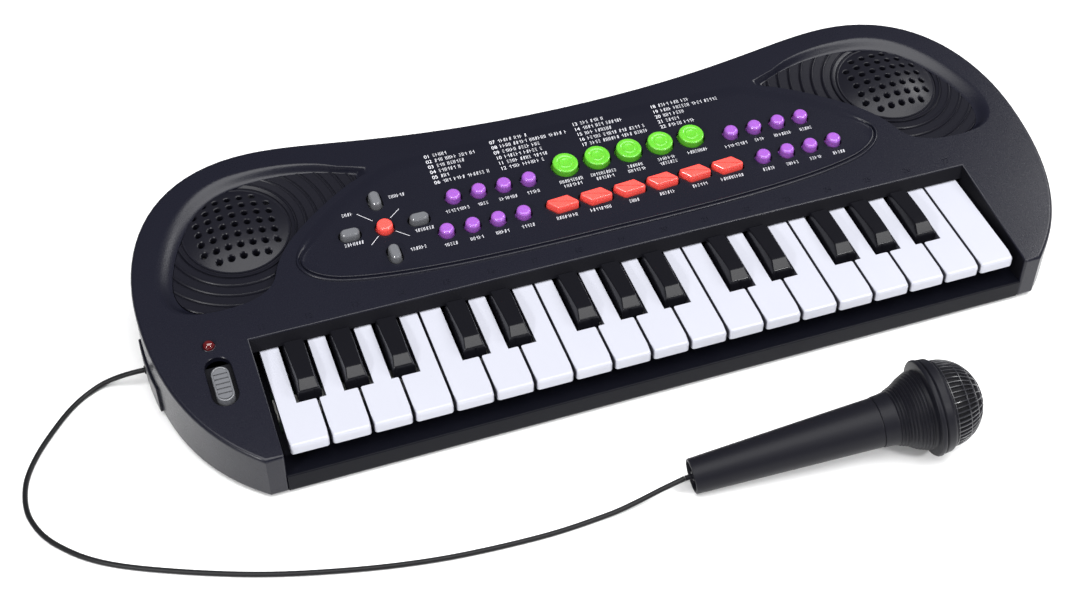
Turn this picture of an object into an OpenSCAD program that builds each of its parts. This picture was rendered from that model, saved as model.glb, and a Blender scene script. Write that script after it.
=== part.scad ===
// Toy electronic keyboard with a wired microphone.
// X runs along the keys, +Y points to the back and +Z up. The origin lies on the floor,
// below the middle of the box that the keyboard and the microphone fill together.

/* [Whole] */
// Depth of the floor area that the keyboard and its microphone take
overall_d = 282.8; // [282:0.1:284]

/* [Case] */
// Width of the case
case_w = 495; // [492:1:500]
// Depth of the case, from its front face to its rearmost edge
case_d = 188; // [187:1:190]
// How far the waist lies in front of the rearmost edge
waist = 16; // [12:1:18]
// Width of the straight front face
front_w = 414; // [410:1:416]
// Height of the case's top edge at the front
front_h = 27.7; // [27.5:0.1:28.5]
// Slope of the case's top
top_slope = 9; // [8.5:0.1:9.5]
// Wall thickness of the case
wall = 2.4; // [2.2:0.1:2.6]
// Height of the feet
foot_h = 1.5; // [1.5:0.1:2]
// Height of the front rail
rail_h = 13; // [12.5:0.1:13.5]
// How far the control panel stands out of the case's top
panel_h = 1.2; // [0.8:0.1:1.4]

/* [Keys] */
// Distance from one white key to the next
key_pitch = 20.5; // [20.3:0.1:20.6]
// Gap between two white keys
key_gap = 1.3; // [1:0.1:1.5]
// Height of the white keys' tops above the floor, at their back
key_top = 31; // [30.8:0.1:31.2]
// How much lower the white keys' tops are at the front
key_drop = 3.6; // [3.2:0.1:4]
// Height of a white key's lower front edge above the floor
skirt_z = 21.6; // [21.4:0.1:22]
// Length of a white key's wide front part
head_len = 25; // [24.6:0.1:25.4]
// Visible length of a white key
key_len = 61.4; // [61:0.1:62]
// Width of the notch that a black key stands in
notch_w = 14.6; // [14.2:0.1:14.8]
// Width of a black key at its base
black_w = 11.4; // [11:0.1:11.6]
// Width of a black key at its top
black_top_w = 9.6; // [9:0.1:10]
// How far a black key stands above the back of the white keys
black_h = 4.5; // [4.2:0.1:4.8]

/* [Buttons] */
// Radius of a round voice button
voice_r = 3.9; // [3.7:0.1:4]
// Height of a voice button above the panel
voice_h = 3.2; // [3:0.1:3.6]
// Radius of a drum pad
pad_r = 6.9; // [6.6:0.1:7]
// Height of a drum pad above the panel
pad_h = 2.4; // [2:0.1:2.8]
// Radius of the stop button
stop_r = 4.3; // [4.1:0.1:4.4]
// Gap between a button and its hole
button_gap = 0.35; // [0.3:0.05:0.4]

/* [Microphone] */
// Length of the microphone
mic_len = 146; // [144:1:148]
// Radius of the handle's tail
tail_r = 8.75; // [8.5:0.05:9]
// Radius of the handle at its joint with the head
neck_r = 12.3; // [12:0.1:12.5]
// Radius of the ring around the head
ring_r = 24; // [23.5:0.1:24.5]
// Turn of the microphone from the X direction
mic_turn = -4.9; // [-6:0.1:-4]
// Place of the microphone's tail along X
mic_x = -17; // [-18:0.1:-16]
// Diameter of the cable
cable_d = 2.6; // [2.4:0.1:2.8]

/* [Hidden] */
$fn = 48;

KEY_LETTERS = "FGABCDEFGABCDEFGABC";
WHITE_NAMES = ["f3", "g3", "a3", "b3", "c4", "d4", "e4", "f4", "g4", "a4", "b4", "c5", "d5", "e5",
    "f5", "g5", "a5", "b5", "c6"];
// The white key to the left of each black key, and the black key's name.
BLACK_AFTER = [0, 1, 2, 4, 5, 7, 8, 9, 11, 12, 14, 15, 16];
BLACK_NAMES = ["f3_sharp", "g3_sharp", "a3_sharp", "c4_sharp", "d4_sharp", "f4_sharp", "g4_sharp",
    "a4_sharp", "c5_sharp", "d5_sharp", "f5_sharp", "g5_sharp", "a5_sharp"];

CASE_COLOR = [0.16, 0.16, 0.19];
GRILLE_COLOR = [0.14, 0.14, 0.16];
MIC_COLOR = [0.11, 0.11, 0.12];
PURPLE = [0.63, 0.34, 0.82];
GREEN = [0.46, 0.90, 0.22];
RED = [0.95, 0.33, 0.28];
GREY = [0.50, 0.52, 0.53];
METAL = [0.75, 0.75, 0.77];

white_keys = len(WHITE_NAMES);
keys_w = white_keys * key_pitch;
back_y = overall_d / 2;
front_y = back_y - case_d;
front_lip = 5;
key_y = front_y + front_lip;
well_w = keys_w + 6.5;
well_back = 64.3;
well_wall = 2.2;
well_drop = 0.9;
hinge_y = 80;
hinge_z = key_top - 4;
rod_r = 1.5;
bore_r = 1.55;
hub_r = 3.5;
nose_r = 3;
corner_r = 1.6;
floor_t = 2.2;
ledge_len = 13;
frame_z = 9;
frame_t = 2;
under = 0.2;
flange_t = 1.2;
button_foot = -7;
contact_y = 37;
contact_z = 21.4;
board_w = -12;
grid = 6.37;

// Centre of the perforated disc of a speaker, on the case's top, and the disc's radius.
speaker = [188, 137];
disc_r = 28;
terrace = 6.6;
terraces = 11;
terrace_drop = 0.45;
disc_w = -1.9;
// Height of the domed disc's rim, and the radius of its dome.
dome_rim_w = -4;
dome_r = 67;
grille_w = -6;
recess_w = -1.8;
insert_gap = 0.3;

// Button places on the case's top. The whole cluster is symmetrical about cluster_x.
cluster_x = 25.7;
voice_pitch = 14;
voice_rows = [122.6, 101.4];
voice_row_x = [79.7, 89.9];
pad_pitch = 18.3;
pad_row = 126.6;
function_pitch = 18.9;
function_row = 101;
stop_at = [-115, 113.3];
cross_reach = 18.5;
switch_at = [-216, 45];
switch_len = 29;
switch_w = 13;
knob_len = 21;
knob_w = 10;
led_at = [-217.4, 66.9];
led_r = 2.9;

battery_y = key_y + 125;
cell_r = 7.15;
cell_len = 50.5;
cell_z = 11.5;
bay = [61, 62];
bay_top = 19.7;
door = [60, 61];
door_t = 1.8;
ear_y = 33.5;
boss_r = 3.6;
boss_z = 6;
screw_r = 1.25;
screw_bore = 1.3;
head_r = 2.7;
BOSSES = [[212, 14], [234, 70], [222, 150], [120, 168], [60, 160]];
FEET = [[200, 20], [190, 152]];
foot_r = 7;

ring_from = 117;
ring_to = 124;
ring_bevel = 1.5;
seam_at = 93.5;
dome_from = 126;
mic_wall = 1.6;
stub_len = 3;
stub_gap = 0.3;
cable_r = cable_d / 2;
gland_r = 2.4;
gland_y = 49;
gland_z = 9;
gland_out = 2;
gland_bore = 2.5;

mic_tilt = atan((ring_r - tail_r) / ring_from);
mic_axis = [cos(mic_tilt) * cos(mic_turn), cos(mic_tilt) * sin(mic_turn), sin(mic_tilt)];
ring_reach = (ring_bevel - ring_to) * mic_axis[1] + ring_r * sqrt(1 - mic_axis[1] * mic_axis[1]);
mic_tail = [mic_x, ring_reach - overall_d / 2, tail_r * cos(mic_tilt)];

// ---- Small helpers ----

function unit(v) = v / norm(v);

function bezier(p, n) = [for (i = [0:n - 1]) let (t = i / n, u = 1 - t)
    u * u * u * p[0] + 3 * u * u * t * p[1] + 3 * u * t * t * p[2] + t * t * t * p[3]];

// Moves each side of a closed, counter-clockwise outline inwards by d.
function inset(p, d) = let (n = len(p)) [for (i = [0:n - 1])
    let (before = unit(p[i] - p[(i + n - 1) % n]), after = unit(p[(i + 1) % n] - p[i]),
        n1 = [-before[1], before[0]], n2 = [-after[1], after[0]])
    p[i] + d * (n1 + n2) / (1 + n1 * n2)];

function mirrored(p) = [for (i = [len(p) - 1:-1:0]) [-p[i][0], p[i][1]]];

// Frame of the case's top: X along the keys, Y up the slope, Z out of the top.
top_z = front_h + front_lip * tan(top_slope);
module on_top() {
    translate([0, key_y, top_z]) rotate([top_slope, 0, 0]) children();
}

// Frame of the microphone, with Z along its axis from tail to head.
module on_mic() {
    translate(mic_tail) rotate([0, -mic_tilt, mic_turn]) rotate([0, 90, 0]) children();
}

// ---- Case outline, seen from above, measured from the front face ----

half_w = case_w / 2;
half_front = front_w / 2;
case_half = concat(
    bezier([[half_front, 0], [half_front + 24, 20], [half_w, 50], [half_w, 100]], 9),
    bezier([[half_w, 100], [half_w, 145], [225, case_d], [170, case_d]], 10),
    bezier([[170, case_d], [135, case_d], [95, case_d - waist], [0, case_d - waist]], 9));
case_outline = concat(case_half, [[0, case_d - waist]], mirrored(case_half));

// Right speaker insert, on the case's top.
insert_outline = concat(
    bezier([[119, 152.5], [160, 128], [171, 115], [176.5, 100]], 7),
    bezier([[176.5, 100], [180, 91], [190, 87], [205, 87]], 5),
    bezier([[205, 87], [222, 87], [229, 97], [226, 112]], 6),
    bezier([[226, 112], [222, 130], [210, 158], [185, 164.5]], 8),
    bezier([[185, 164.5], [165, 168.5], [140, 167], [119, 156]], 6),
    [[119, 156]]);

// Right half of the raised control panel, on the case's top.
panel_half = concat(
    bezier([[0, 77], [70, 76.5], [120, 79], [145, 86]], 6),
    bezier([[145, 86], [158, 90], [166, 98], [164, 106]], 6),
    bezier([[164, 106], [161, 116], [150, 130], [119, 152.5]], 6),
    [[119, 152.5], [112, 158]]);
panel_outline = concat(panel_half, mirrored(panel_half));

module case_block(gap, from_z, drop) {
    difference() {
        translate([0, front_y, from_z])
            linear_extrude(height = 80)
                polygon(inset(case_outline, gap));
        on_top() translate([-300, -60, -drop]) cube([600, 300, 120]);
    }
}

// A bar along X with the given outline in Y and Z.
module bar_x(half_len, points) {
    rotate([90, 0, 90]) translate([0, 0, -half_len])
        linear_extrude(height = 2 * half_len) polygon(points);
}

module stadium(len_y, w, h) {
    for (s = [-1, 1]) translate([0, s * (len_y - w) / 2, 0]) cylinder(h = h, r = w / 2);
    translate([-w / 2, -(len_y - w) / 2, 0]) cube([w, len_y - w, h]);
}

// Both sides of the case at once.
module both_sides() {
    children();
    mirror([1, 0, 0]) children();
}

// ---- Case ----

wall_y = key_y + well_back;
wall_foot_y = key_y + key_len;
wall_foot_z = key_top + well_drop;

module well_walls() {
    both_sides() translate([well_w / 2, front_y, rail_h - 1.5]) cube([well_wall, 72, 60]);
    bar_x(well_w / 2 + 1, [[wall_foot_y, wall_foot_z], [wall_foot_y + 2.4, wall_foot_z],
        [wall_y + 2.4, key_top + 9], [wall_y + 2.4, 70], [wall_y, 70], [wall_y, key_top + 9]]);
    translate([-half_w, front_y, rail_h - 2.4]) cube([case_w, ledge_len, 2.4]);
}

module key_well() {
    bar_x(well_w / 2, [[front_y - 1, rail_h], [wall_foot_y, rail_h], [wall_foot_y, wall_foot_z],
        [wall_y, key_top + 9], [wall_y, 70], [front_y - 1, 70]]);
}

module boss_places() {
    both_sides() for (b = BOSSES) translate([b[0], key_y + b[1], 0]) children();
}

module speaker_insert(gap, from_w, h) {
    translate([0, 0, from_w]) linear_extrude(height = h) polygon(inset(insert_outline, gap));
}

module button_holes() {
    depth = -wall - 1;
    voice_places(-1) translate([0, 0, depth]) cylinder(h = 9, r = voice_r + button_gap);
    voice_places(1) translate([0, 0, depth]) cylinder(h = 9, r = voice_r + button_gap);
    pad_places() translate([0, 0, depth]) cylinder(h = 9, r = pad_r + button_gap);
    function_places() translate([0, 0, depth])
        linear_extrude(height = 9) polygon(inset(leaf, -button_gap));
    cross_places() translate([0, 0, depth])
        stadium(10.5 + 2 * button_gap, 6 + 2 * button_gap, 9);
    translate([stop_at[0], stop_at[1], depth]) cylinder(h = 9, r = stop_r + button_gap);
}

module upper_case() {
    color(CASE_COLOR) difference() {
        union() {
            difference() {
                case_block(0, foot_h, 0);
                difference() {
                    case_block(wall, -1, wall);
                    well_walls();
                    intersection() {
                        boss_places() translate([0, 0, boss_z]) cylinder(h = 80, r = boss_r);
                        case_block(wall - 0.5, boss_z, wall - 0.5);
                    }
                }
                on_top() both_sides() speaker_insert(-4, recess_w, 20);
            }
            on_top() translate([0, 0, -0.5])
                linear_extrude(height = panel_h + 0.5) polygon(panel_outline);
        }
        key_well();
        on_top() {
            both_sides() speaker_insert(0, -10, 30);
            button_holes();
            translate([switch_at[0], switch_at[1], -10]) stadium(switch_len, switch_w, 20);
            translate([led_at[0], led_at[1], -10]) cylinder(h = 20, r = led_r + 0.1);
        }
        boss_places() translate([0, 0, boss_z - 1]) cylinder(h = 11, r = screw_bore);
        translate([-half_w - 5, gland_y, gland_z]) rotate([0, 90, 0])
            cylinder(h = 15, r = gland_bore);
    }
}

module door_shape(gap, h) {
    translate([-door[0] / 2 - gap, -door[1] / 2 - gap, 0])
        cube([door[0] + 2 * gap, door[1] + 2 * gap, h]);
    translate([-5 - gap, 0, 0]) cube([10 + 2 * gap, ear_y + 4 + gap, h]);
}

module lower_case() {
    inner = wall + 0.3;
    color(CASE_COLOR) difference() {
        union() {
            translate([0, front_y, foot_h]) linear_extrude(height = floor_t)
                polygon(inset(case_outline, inner));
            translate([0, front_y, foot_h]) linear_extrude(height = 6.5) difference() {
                polygon(inset(case_outline, inner));
                polygon(inset(case_outline, inner + 1.8));
            }
            both_sides() for (f = FEET) translate([f[0], key_y + f[1], 0])
                cylinder(h = foot_h + 1, r = foot_r);
            boss_places() translate([0, 0, foot_h]) cylinder(h = boss_z - foot_h - 0.1, r = 5);
            translate([0, battery_y, 0]) {
                translate([-bay[0] / 2 - 2, -bay[1] / 2 - 2, foot_h])
                    cube([bay[0] + 4, bay[1] + 4, bay_top + 1.5 - foot_h]);
                translate([0, ear_y, foot_h + 1]) cylinder(h = 10, r = 4);
            }
        }
        translate([0, battery_y, 0]) {
            translate([-bay[0] / 2, -bay[1] / 2, foot_h + floor_t])
                cube([bay[0], bay[1], bay_top - foot_h - floor_t]);
            translate([0, 0, foot_h - 1]) door_shape(0.3, door_t + 1.1);
            translate([-door[0] / 2 - 0.3, -door[1] / 2 - 0.3, 0])
                cube([door[0] + 0.6, door[1] + 0.6, 6]);
            translate([0, ear_y, 0]) cylinder(h = 10.5, r = screw_bore);
        }
        boss_places() {
            cylinder(h = 10, r = 1.5);
            cylinder(h = foot_h + floor_t + 0.3, r = head_r + 0.3);
        }
        // Room for the cable's inlet in the rim
        translate([-half_w - 5, gland_y - 4, foot_h + floor_t]) cube([15, 8, 10]);
    }
}

module battery_door() {
    color(CASE_COLOR) translate([0, battery_y, foot_h]) difference() {
        door_shape(0, door_t);
        translate([0, ear_y, -1]) cylinder(h = 5, r = 1.5);
        for (i = [-3:3]) translate([-20, -12 + 3 * i - 0.6, -1]) cube([40, 1.2, 1.5]);
    }
}

module batteries() {
    color([0.25, 0.45, 0.35])
    for (i = [0:3]) translate([0, battery_y + (i - 1.5) * 15, cell_z])
        rotate([0, i % 2 == 0 ? 90 : -90, 0]) translate([0, 0, -cell_len / 2]) {
            cylinder(h = cell_len - 1, r = cell_r);
            cylinder(h = cell_len, r = 2.7);
        }
}

module battery_contacts() {
    color(METAL) both_sides() for (y = [-15, 15]) translate([0, battery_y + y, 0]) {
        translate([28.4, -13.5, 5]) cube([0.6, 27, 13]);
        for (s = [-7.5, 7.5]) translate([cell_len / 2, s, cell_z]) rotate([0, 90, 0])
            cylinder(h = 28.9 - cell_len / 2, r1 = 2, r2 = 3.5);
    }
}

module screw(head_z, len) {
    translate([0, 0, head_z]) cylinder(h = 2, r = head_r);
    translate([0, 0, head_z + 1]) cylinder(h = len, r = screw_r);
}

module case_screws() {
    color(METAL) {
        boss_places() screw(foot_h + 0.4, 11);
        translate([0, battery_y + ear_y, 0]) difference() {
            translate([0, 0, foot_h - 1]) union() {
                cylinder(h = 1, r = head_r);
                cylinder(h = 9, r = screw_r);
            }
            translate([-0.4, -5, 0]) cube([0.8, 10, foot_h - 0.5]);
        }
    }
}

// ---- Speakers ----

function dome_w(r) = dome_rim_w + sqrt(dome_r * dome_r - r * r)
    - sqrt(dome_r * dome_r - disc_r * disc_r);

// Outline of the stepped grille, from its middle outwards.
stepped_profile = concat(
    [[0, grille_w]],
    [for (k = [terraces:-1:1]) each [
        [disc_r + k * terrace, k == terraces ? grille_w : disc_w - terrace_drop * min(k + 1, 4)],
        [disc_r + k * terrace, disc_w - terrace_drop * min(k, 4)]]],
    [[disc_r, disc_w - terrace_drop]],
    [for (k = [8:-1:0]) [disc_r * k / 8, dome_w(disc_r * k / 8)]]);

module grille_holes() {
    for (i = [-3:3], j = [-3:3]) if (i * i + j * j <= 13)
        translate([speaker[0] + grid * i, speaker[1] + grid * j, -12])
            cylinder(h = 20, r = 1.7, $fn = 24);
}

module speaker_grilles() {
    color(GRILLE_COLOR) on_top() both_sides() difference() {
        union() {
            intersection() {
                speaker_insert(insert_gap, grille_w, 20);
                translate([speaker[0], speaker[1], 0]) rotate_extrude($fn = 64)
                    polygon(stepped_profile);
            }
            speaker_insert(-2, grille_w, 1.6);
        }
        grille_holes();
    }
}

// Each speaker hangs from the underside of its grille.
module speaker_places() {
    on_top() both_sides() translate([speaker[0], speaker[1], grille_w]) children();
}

module speaker_frames() {
    color(METAL) speaker_places() rotate_extrude($fn = 64) polygon([[0, -18.6], [15, -18.6],
        [15, -11.6], [17, -11.6], [25, -1.4], [29, -1.4], [29, 0], [24, 0], [15.8, -10.4],
        [0, -10.4]]);
}

module speaker_cones() {
    color(MIC_COLOR) speaker_places() rotate_extrude($fn = 64) polygon([[0, -6.6], [6, -6.6],
        [14, -8.4], [23.2, -0.2], [22.4, 0], [13.6, -7.2], [6, -5.4], [0, -5.4]]);
}

// ---- Keys ----

// How far a black key's middle lies from the gap between its two white keys.
function black_shift(letter) = letter == "F" ? -3.1 : letter == "G" ? 0
    : letter == "A" ? 3.1 : letter == "C" ? -1.6 : 1.6;
function gap_x(i) = -keys_w / 2 + i * key_pitch;
function has_black_after(i) = len(search(i, BLACK_AFTER)) > 0;
function black_x(i) = gap_x(i + 1) + black_shift(KEY_LETTERS[i]);
function stem_left(i) = i > 0 && has_black_after(i - 1)
    ? black_x(i - 1) + notch_w / 2 : gap_x(i) + key_gap / 2;
function stem_right(i) = has_black_after(i)
    ? black_x(i) - notch_w / 2 : gap_x(i + 1) - key_gap / 2;

// The tongue that carries a key's pivot, and the bore for the rod.
module key_tongue(x, w, from_y, top) {
    difference() {
        union() {
            translate([x - w / 2, key_y + from_y, hinge_z - 3])
                cube([w, hinge_y - from_y, top - hinge_z + 3]);
            translate([x - w / 2, key_y + hinge_y, hinge_z]) rotate([0, 90, 0])
                cylinder(h = w, r = hub_r);
        }
        translate([x - w, key_y + hinge_y, hinge_z]) rotate([0, 90, 0])
            cylinder(h = 2 * w, r = bore_r);
    }
}

// Height of a white key's top at a distance y from its front.
function top_at(y) = key_top - key_drop * (1 - y / key_len);

// A white key's outline seen from the side, with its front edge rounded.
white_side = concat([[66, hinge_z - 3], [66, 20], [0, 20]],
    [for (a = [180:-15:90]) [nose_r + nose_r * cos(a), top_at(nose_r) - nose_r + nose_r * sin(a)]],
    [[66, top_at(66)]]);

module white_key(i) {
    x0 = gap_x(i) + key_gap / 2;
    x1 = gap_x(i + 1) - key_gap / 2;
    left = stem_left(i);
    right = stem_right(i);
    color([0.93, 0.93, 0.96]) union() {
        difference() {
            intersection() {
                union() {
                    translate([0, key_y, skirt_z]) linear_extrude(height = 20) union() {
                        translate([x0, corner_r]) square([x1 - x0, head_len - corner_r]);
                        translate([x0 + corner_r, 0])
                            square([x1 - x0 - 2 * corner_r, head_len]);
                        for (x = [x0 + corner_r, x1 - corner_r])
                            translate([x, corner_r]) circle(corner_r);
                    }
                    translate([left, key_y + head_len - 1, hinge_z - 3])
                        cube([right - left, 65 - head_len, 20]);
                }
                translate([0, key_y, 0]) bar_x(half_w, white_side);
            }
            translate([x0 + 1.8, key_y + 1.8, skirt_z - 1])
                cube([x1 - x0 - 3.6, head_len - 3.6, 4.8]);
        }
        key_tongue((left + right) / 2, 7, 63, hinge_z + 3);
    }
}

// A black key's outline seen from the side, in distances from the white keys' front.
black_side = [[27.4, hinge_z - 3], [28.3, key_top + 0.7], [33.3, key_top + black_h - 0.4],
    [42, key_top + black_h], [50, key_top + black_h - 0.1], [key_len - 1, key_top + black_h - 0.6],
    [key_len - 1, hinge_z - 3]];

module black_key(k) {
    x = black_x(BLACK_AFTER[k]);
    color([0.07, 0.07, 0.08]) union() {
        intersection() {
            translate([x, key_y, 0]) bar_x(black_w, black_side);
            translate([x, key_y + key_len, 0]) rotate([90, 0, 0]) linear_extrude(height = 40)
                polygon([[-black_w / 2, hinge_z - 3], [black_w / 2, hinge_z - 3],
                    [black_w / 2, key_top], [black_top_w / 2, key_top + black_h],
                    [-black_top_w / 2, key_top + black_h], [-black_w / 2, key_top]]);
        }
        key_tongue(x, 6, key_len - 2, hinge_z + 2.5);
    }
}

module key_hinge_frame() {
    color(CASE_COLOR) {
        difference() {
            union() {
                translate([-196, key_y + 8.3, frame_z]) cube([392, 81, frame_t]);
                for (i = [4, 7, 11, 14, 18]) bracket(gap_x(i));
                bracket(-keys_w / 2 - 0.2);
                bracket(keys_w / 2 + 0.2);
                for (x = [-180, -60, 60, 180], y = [20, 86])
                    translate([x, key_y + y, foot_h + floor_t])
                        cylinder(h = frame_z - foot_h - floor_t + 1, r = 3);
            }
            translate([-200, key_y + hinge_y, hinge_z]) rotate([0, 90, 0])
                cylinder(h = 400, r = bore_r);
        }
    }
}

module bracket(x) {
    translate([x - 1, key_y + hinge_y - 4, frame_z]) cube([2, 8, hinge_z + 3 - frame_z]);
}

module key_pivot_rod() {
    color(METAL) translate([-196, key_y + hinge_y, hinge_z]) rotate([0, 90, 0])
        cylinder(h = 392, r = rod_r);
}

module key_contact_board() {
    color([0.10, 0.35, 0.18]) translate([-194, key_y + 24, frame_z + frame_t])
        cube([388, 26, 1.6]);
}

module contact_rubber() {
    mat_z = frame_z + frame_t + 1.6;
    dome_h = contact_z - mat_z - 1;
    color([0.80, 0.80, 0.78]) {
        union() {
            translate([-194, key_y + 30, mat_z]) cube([388, 14, 1.5]);
            for (i = [0:white_keys - 1])
                translate([(stem_left(i) + stem_right(i)) / 2, key_y + contact_y, mat_z + 1])
                    cylinder(h = dome_h, r1 = 4, r2 = 2.6);
            for (i = BLACK_AFTER) translate([black_x(i), key_y + contact_y, mat_z + 1])
                cylinder(h = dome_h, r1 = 4, r2 = 2.6);
        }
        on_top() union() {
            translate([-140, 90, board_w]) cube([288, 52, 1.4]);
            dome = [3.2, 2.4];
            voice_places(-1) mat_dome(dome);
            voice_places(1) mat_dome(dome);
            pad_places() mat_dome(dome);
            function_places() mat_dome(dome);
            cross_places() mat_dome(dome);
            translate([stop_at[0], stop_at[1], 0]) mat_dome(dome);
        }
    }
}

module mat_dome(r) {
    translate([0, 0, board_w + 1]) cylinder(h = 2.4, r1 = r[0], r2 = r[1]);
}

module main_board() {
    color([0.10, 0.35, 0.18]) on_top() translate([-142, 88, board_w - 1.6])
        cube([292, 58, 1.6]);
}

// ---- Buttons ----

module voice_places(side) {
    for (row = [0, 1], i = [0:3])
        translate([cluster_x + side * voice_row_x[row] + (i - 1.5) * voice_pitch,
            voice_rows[row], 0]) children();
}

module pad_places() {
    for (i = [-2:2]) translate([cluster_x + i * pad_pitch, pad_row, 0]) children();
}

module function_places() {
    for (i = [0:5])
        translate([cluster_x + (i - 2.5) * function_pitch, function_row, 0]) children();
}

module cross_places() {
    for (s = [-1, 1]) {
        translate([stop_at[0], stop_at[1] + s * cross_reach, 0]) children();
        translate([stop_at[0] + s * cross_reach, stop_at[1], 0]) rotate([0, 0, 90]) children();
    }
}

// A function button's outline: a leaf with slanted ends.
leaf = [[-8.4, 1.2], [-3.8, -4.2], [8.1, -3.3], [8.4, -1.2], [3.8, 4.2], [-8.1, 3.3]];

// The part of a button below the case's top: a flange that keeps it in, and a plunger.
module button_foot(r) {
    translate([0, 0, -wall - under - flange_t]) cylinder(h = flange_t, r = r + 1.3);
    translate([0, 0, button_foot]) cylinder(h = -button_foot - wall, r = 2.2);
}

module round_button(r, h) {
    button_foot(r);
    translate([0, 0, -wall - under - 0.1])
        cylinder(h = wall + under + 0.1 + panel_h + h - 0.9, r = r);
    translate([0, 0, panel_h + h - 0.9]) cylinder(h = 0.9, r1 = r, r2 = r - 0.9);
}

module drum_pads() {
    color(GREEN) on_top() pad_places() difference() {
        round_button(pad_r, pad_h);
        translate([0, 0, panel_h + pad_h - 0.6]) difference() {
            cylinder(h = 2, r = 3.6);
            cylinder(h = 2, r = 2.8);
        }
    }
}

module function_buttons() {
    low = -wall - under;
    color(RED) on_top() function_places() {
        button_foot(3.6);
        translate([0, 0, low - 0.1])
            linear_extrude(height = 2.8 + panel_h - low + 0.1) polygon(leaf);
    }
}

module rhythm_buttons() {
    color(PURPLE) on_top() voice_places(-1) round_button(voice_r, voice_h);
}

module tone_buttons() {
    color(PURPLE) on_top() voice_places(1) round_button(voice_r, voice_h);
}

module tempo_volume_buttons() {
    low = -wall - under;
    color(GREY) on_top() cross_places() {
        button_foot(3);
        translate([0, 0, low - 0.1]) stadium(10.5, 6, 3 + panel_h - low + 0.1);
    }
}

module stop_button() {
    color(RED) on_top() translate([stop_at[0], stop_at[1], 0]) round_button(stop_r, 3);
}

module power_switch_knob() {
    rest_v = switch_at[1] - (switch_len - knob_len) / 2 + 0.7;
    color(GREY) on_top() translate([switch_at[0], rest_v, 0]) {
        difference() {
            translate([0, 0, -wall - under - 0.1]) stadium(knob_len, knob_w, wall + under + 1.7);
            for (i = [-2:2]) translate([-10, 2.8 * i + 1.5, 0.9]) cube([20, 1, 2]);
        }
        translate([-7.5, -14, -wall - under - 1.4]) cube([15, 28, 1.4]);
    }
}

module power_led() {
    color([0.7, 0.05, 0.05]) on_top() translate([led_at[0], led_at[1], 0]) {
        translate([0, 0, -7]) cylinder(h = 7.2, r = led_r);
        translate([0, 0, 0.1]) intersection() {
            sphere(r = led_r);
            translate([-5, -5, 0]) cube([10, 10, 5]);
        }
        translate([0, 0, -wall - under - 1.2]) cylinder(h = 1.2, r = led_r + 0.7);
    }
}

// ---- Microphone ----

module mic_handle() {
    tip = mic_wall + 0.4;
    color(MIC_COLOR) on_mic() rotate_extrude($fn = 72) polygon([[0, -stub_len],
        [cable_r, -stub_len], [cable_r, 0.5], [2.3, 0.5], [2.3, tip], [tail_r - mic_wall, tip],
        [tail_r - mic_wall, 0], [tail_r, 0], [neck_r, seam_at], [neck_r - mic_wall, seam_at],
        [tail_r - mic_wall, 2 * tip], [0, 2 * tip]]);
}

module mic_head() {
    color(MIC_COLOR) on_mic() rotate_extrude($fn = 72) polygon([[neck_r - mic_wall, seam_at],
        [neck_r + 0.3, seam_at], [neck_r + 0.8, 101], [15.4, 105], [17.8, 109], [19.4, 113],
        [20, ring_from], [ring_r, ring_from], [ring_r, ring_to - ring_bevel],
        [ring_r - 0.8, ring_to], [22, ring_to], [21.8, dome_from], [19.8, dome_from],
        [19.8, ring_from], [17.6, 112], [13.6, 105], [neck_r - mic_wall, 100]]);
}

module mic_grille() {
    rise = mic_len - dome_from;
    shell = 1.4;
    n = 9;
    color(MIC_COLOR) on_mic() rotate_extrude($fn = 72) polygon(concat(
        [for (i = [0:n]) let (a = 90 * i / n) [21.6 * cos(a), dome_from + rise * sin(a)]],
        [for (i = [n:-1:0]) let (a = 90 * i / n)
            [(21.6 - shell) * cos(a), dome_from + (rise - shell) * sin(a)]]));
}

module mic_capsule() {
    color(METAL) on_mic() {
        translate([0, 0, 114]) cylinder(h = 10, r = 8);
        translate([0, 0, 113]) cylinder(h = 1.5, r = 17.9);
    }
}

// ---- Cable ----

module cord_strain_relief() {
    color(MIC_COLOR) translate([-half_w - gland_out, gland_y, gland_z]) rotate([0, 90, 0])
        difference() {
            union() {
                cylinder(h = 8, r = gland_r);
                translate([0, 0, 5.5]) cylinder(h = 2.5, r = gland_r + 1.2);
            }
            translate([0, 0, -1]) cylinder(h = 20, r = 0.8);
        }
}

// The cable's centre line, from its inlet in the case to the microphone.
cable_end = mic_tail - (stub_len + stub_gap) * mic_axis;
CABLE_ROUTE = [[-half_w - gland_out, gland_y, gland_z], [-257, 50, 8], [-265, 52, 5],
    [-273, 52, 2.4], [-284, 46, 1.4], [-295, 35, 1.4], [-309, 16, 1.4], [-316.5, -2, 1.4],
    [-316.5, -22, 1.4], [-306, -42, 1.4], [-282, -62, 1.4], [-232, -85, 1.4], [-187, -99, 1.4],
    [-142, -108, 1.4], [-95, -111.5, 1.4], [-62, -110.4, 1.8], [-46, -109, 3.4],
    [-33, -107.8, 6], cable_end];
cable_step = 6.3;

function spline(p, i, t) =
    let (n = len(p) - 1, a = i > 0 ? p[i - 1] : 2 * p[0] - p[1],
        d = i + 2 <= n ? p[i + 2] : 2 * p[n] - p[n - 1], b = p[i], c = p[i + 1])
    0.5 * (2 * b + (c - a) * t + (2 * a - 5 * b + 4 * c - d) * t * t
        + (3 * b - a - 3 * c + d) * t * t * t);

function spline_points(p, step) = concat(
    [for (i = [0:len(p) - 2]) let (m = max(1, round(norm(p[i + 1] - p[i]) / step)))
        for (j = [0:m - 1]) spline(p, i, j / m)],
    [p[len(p) - 1]]);

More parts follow.
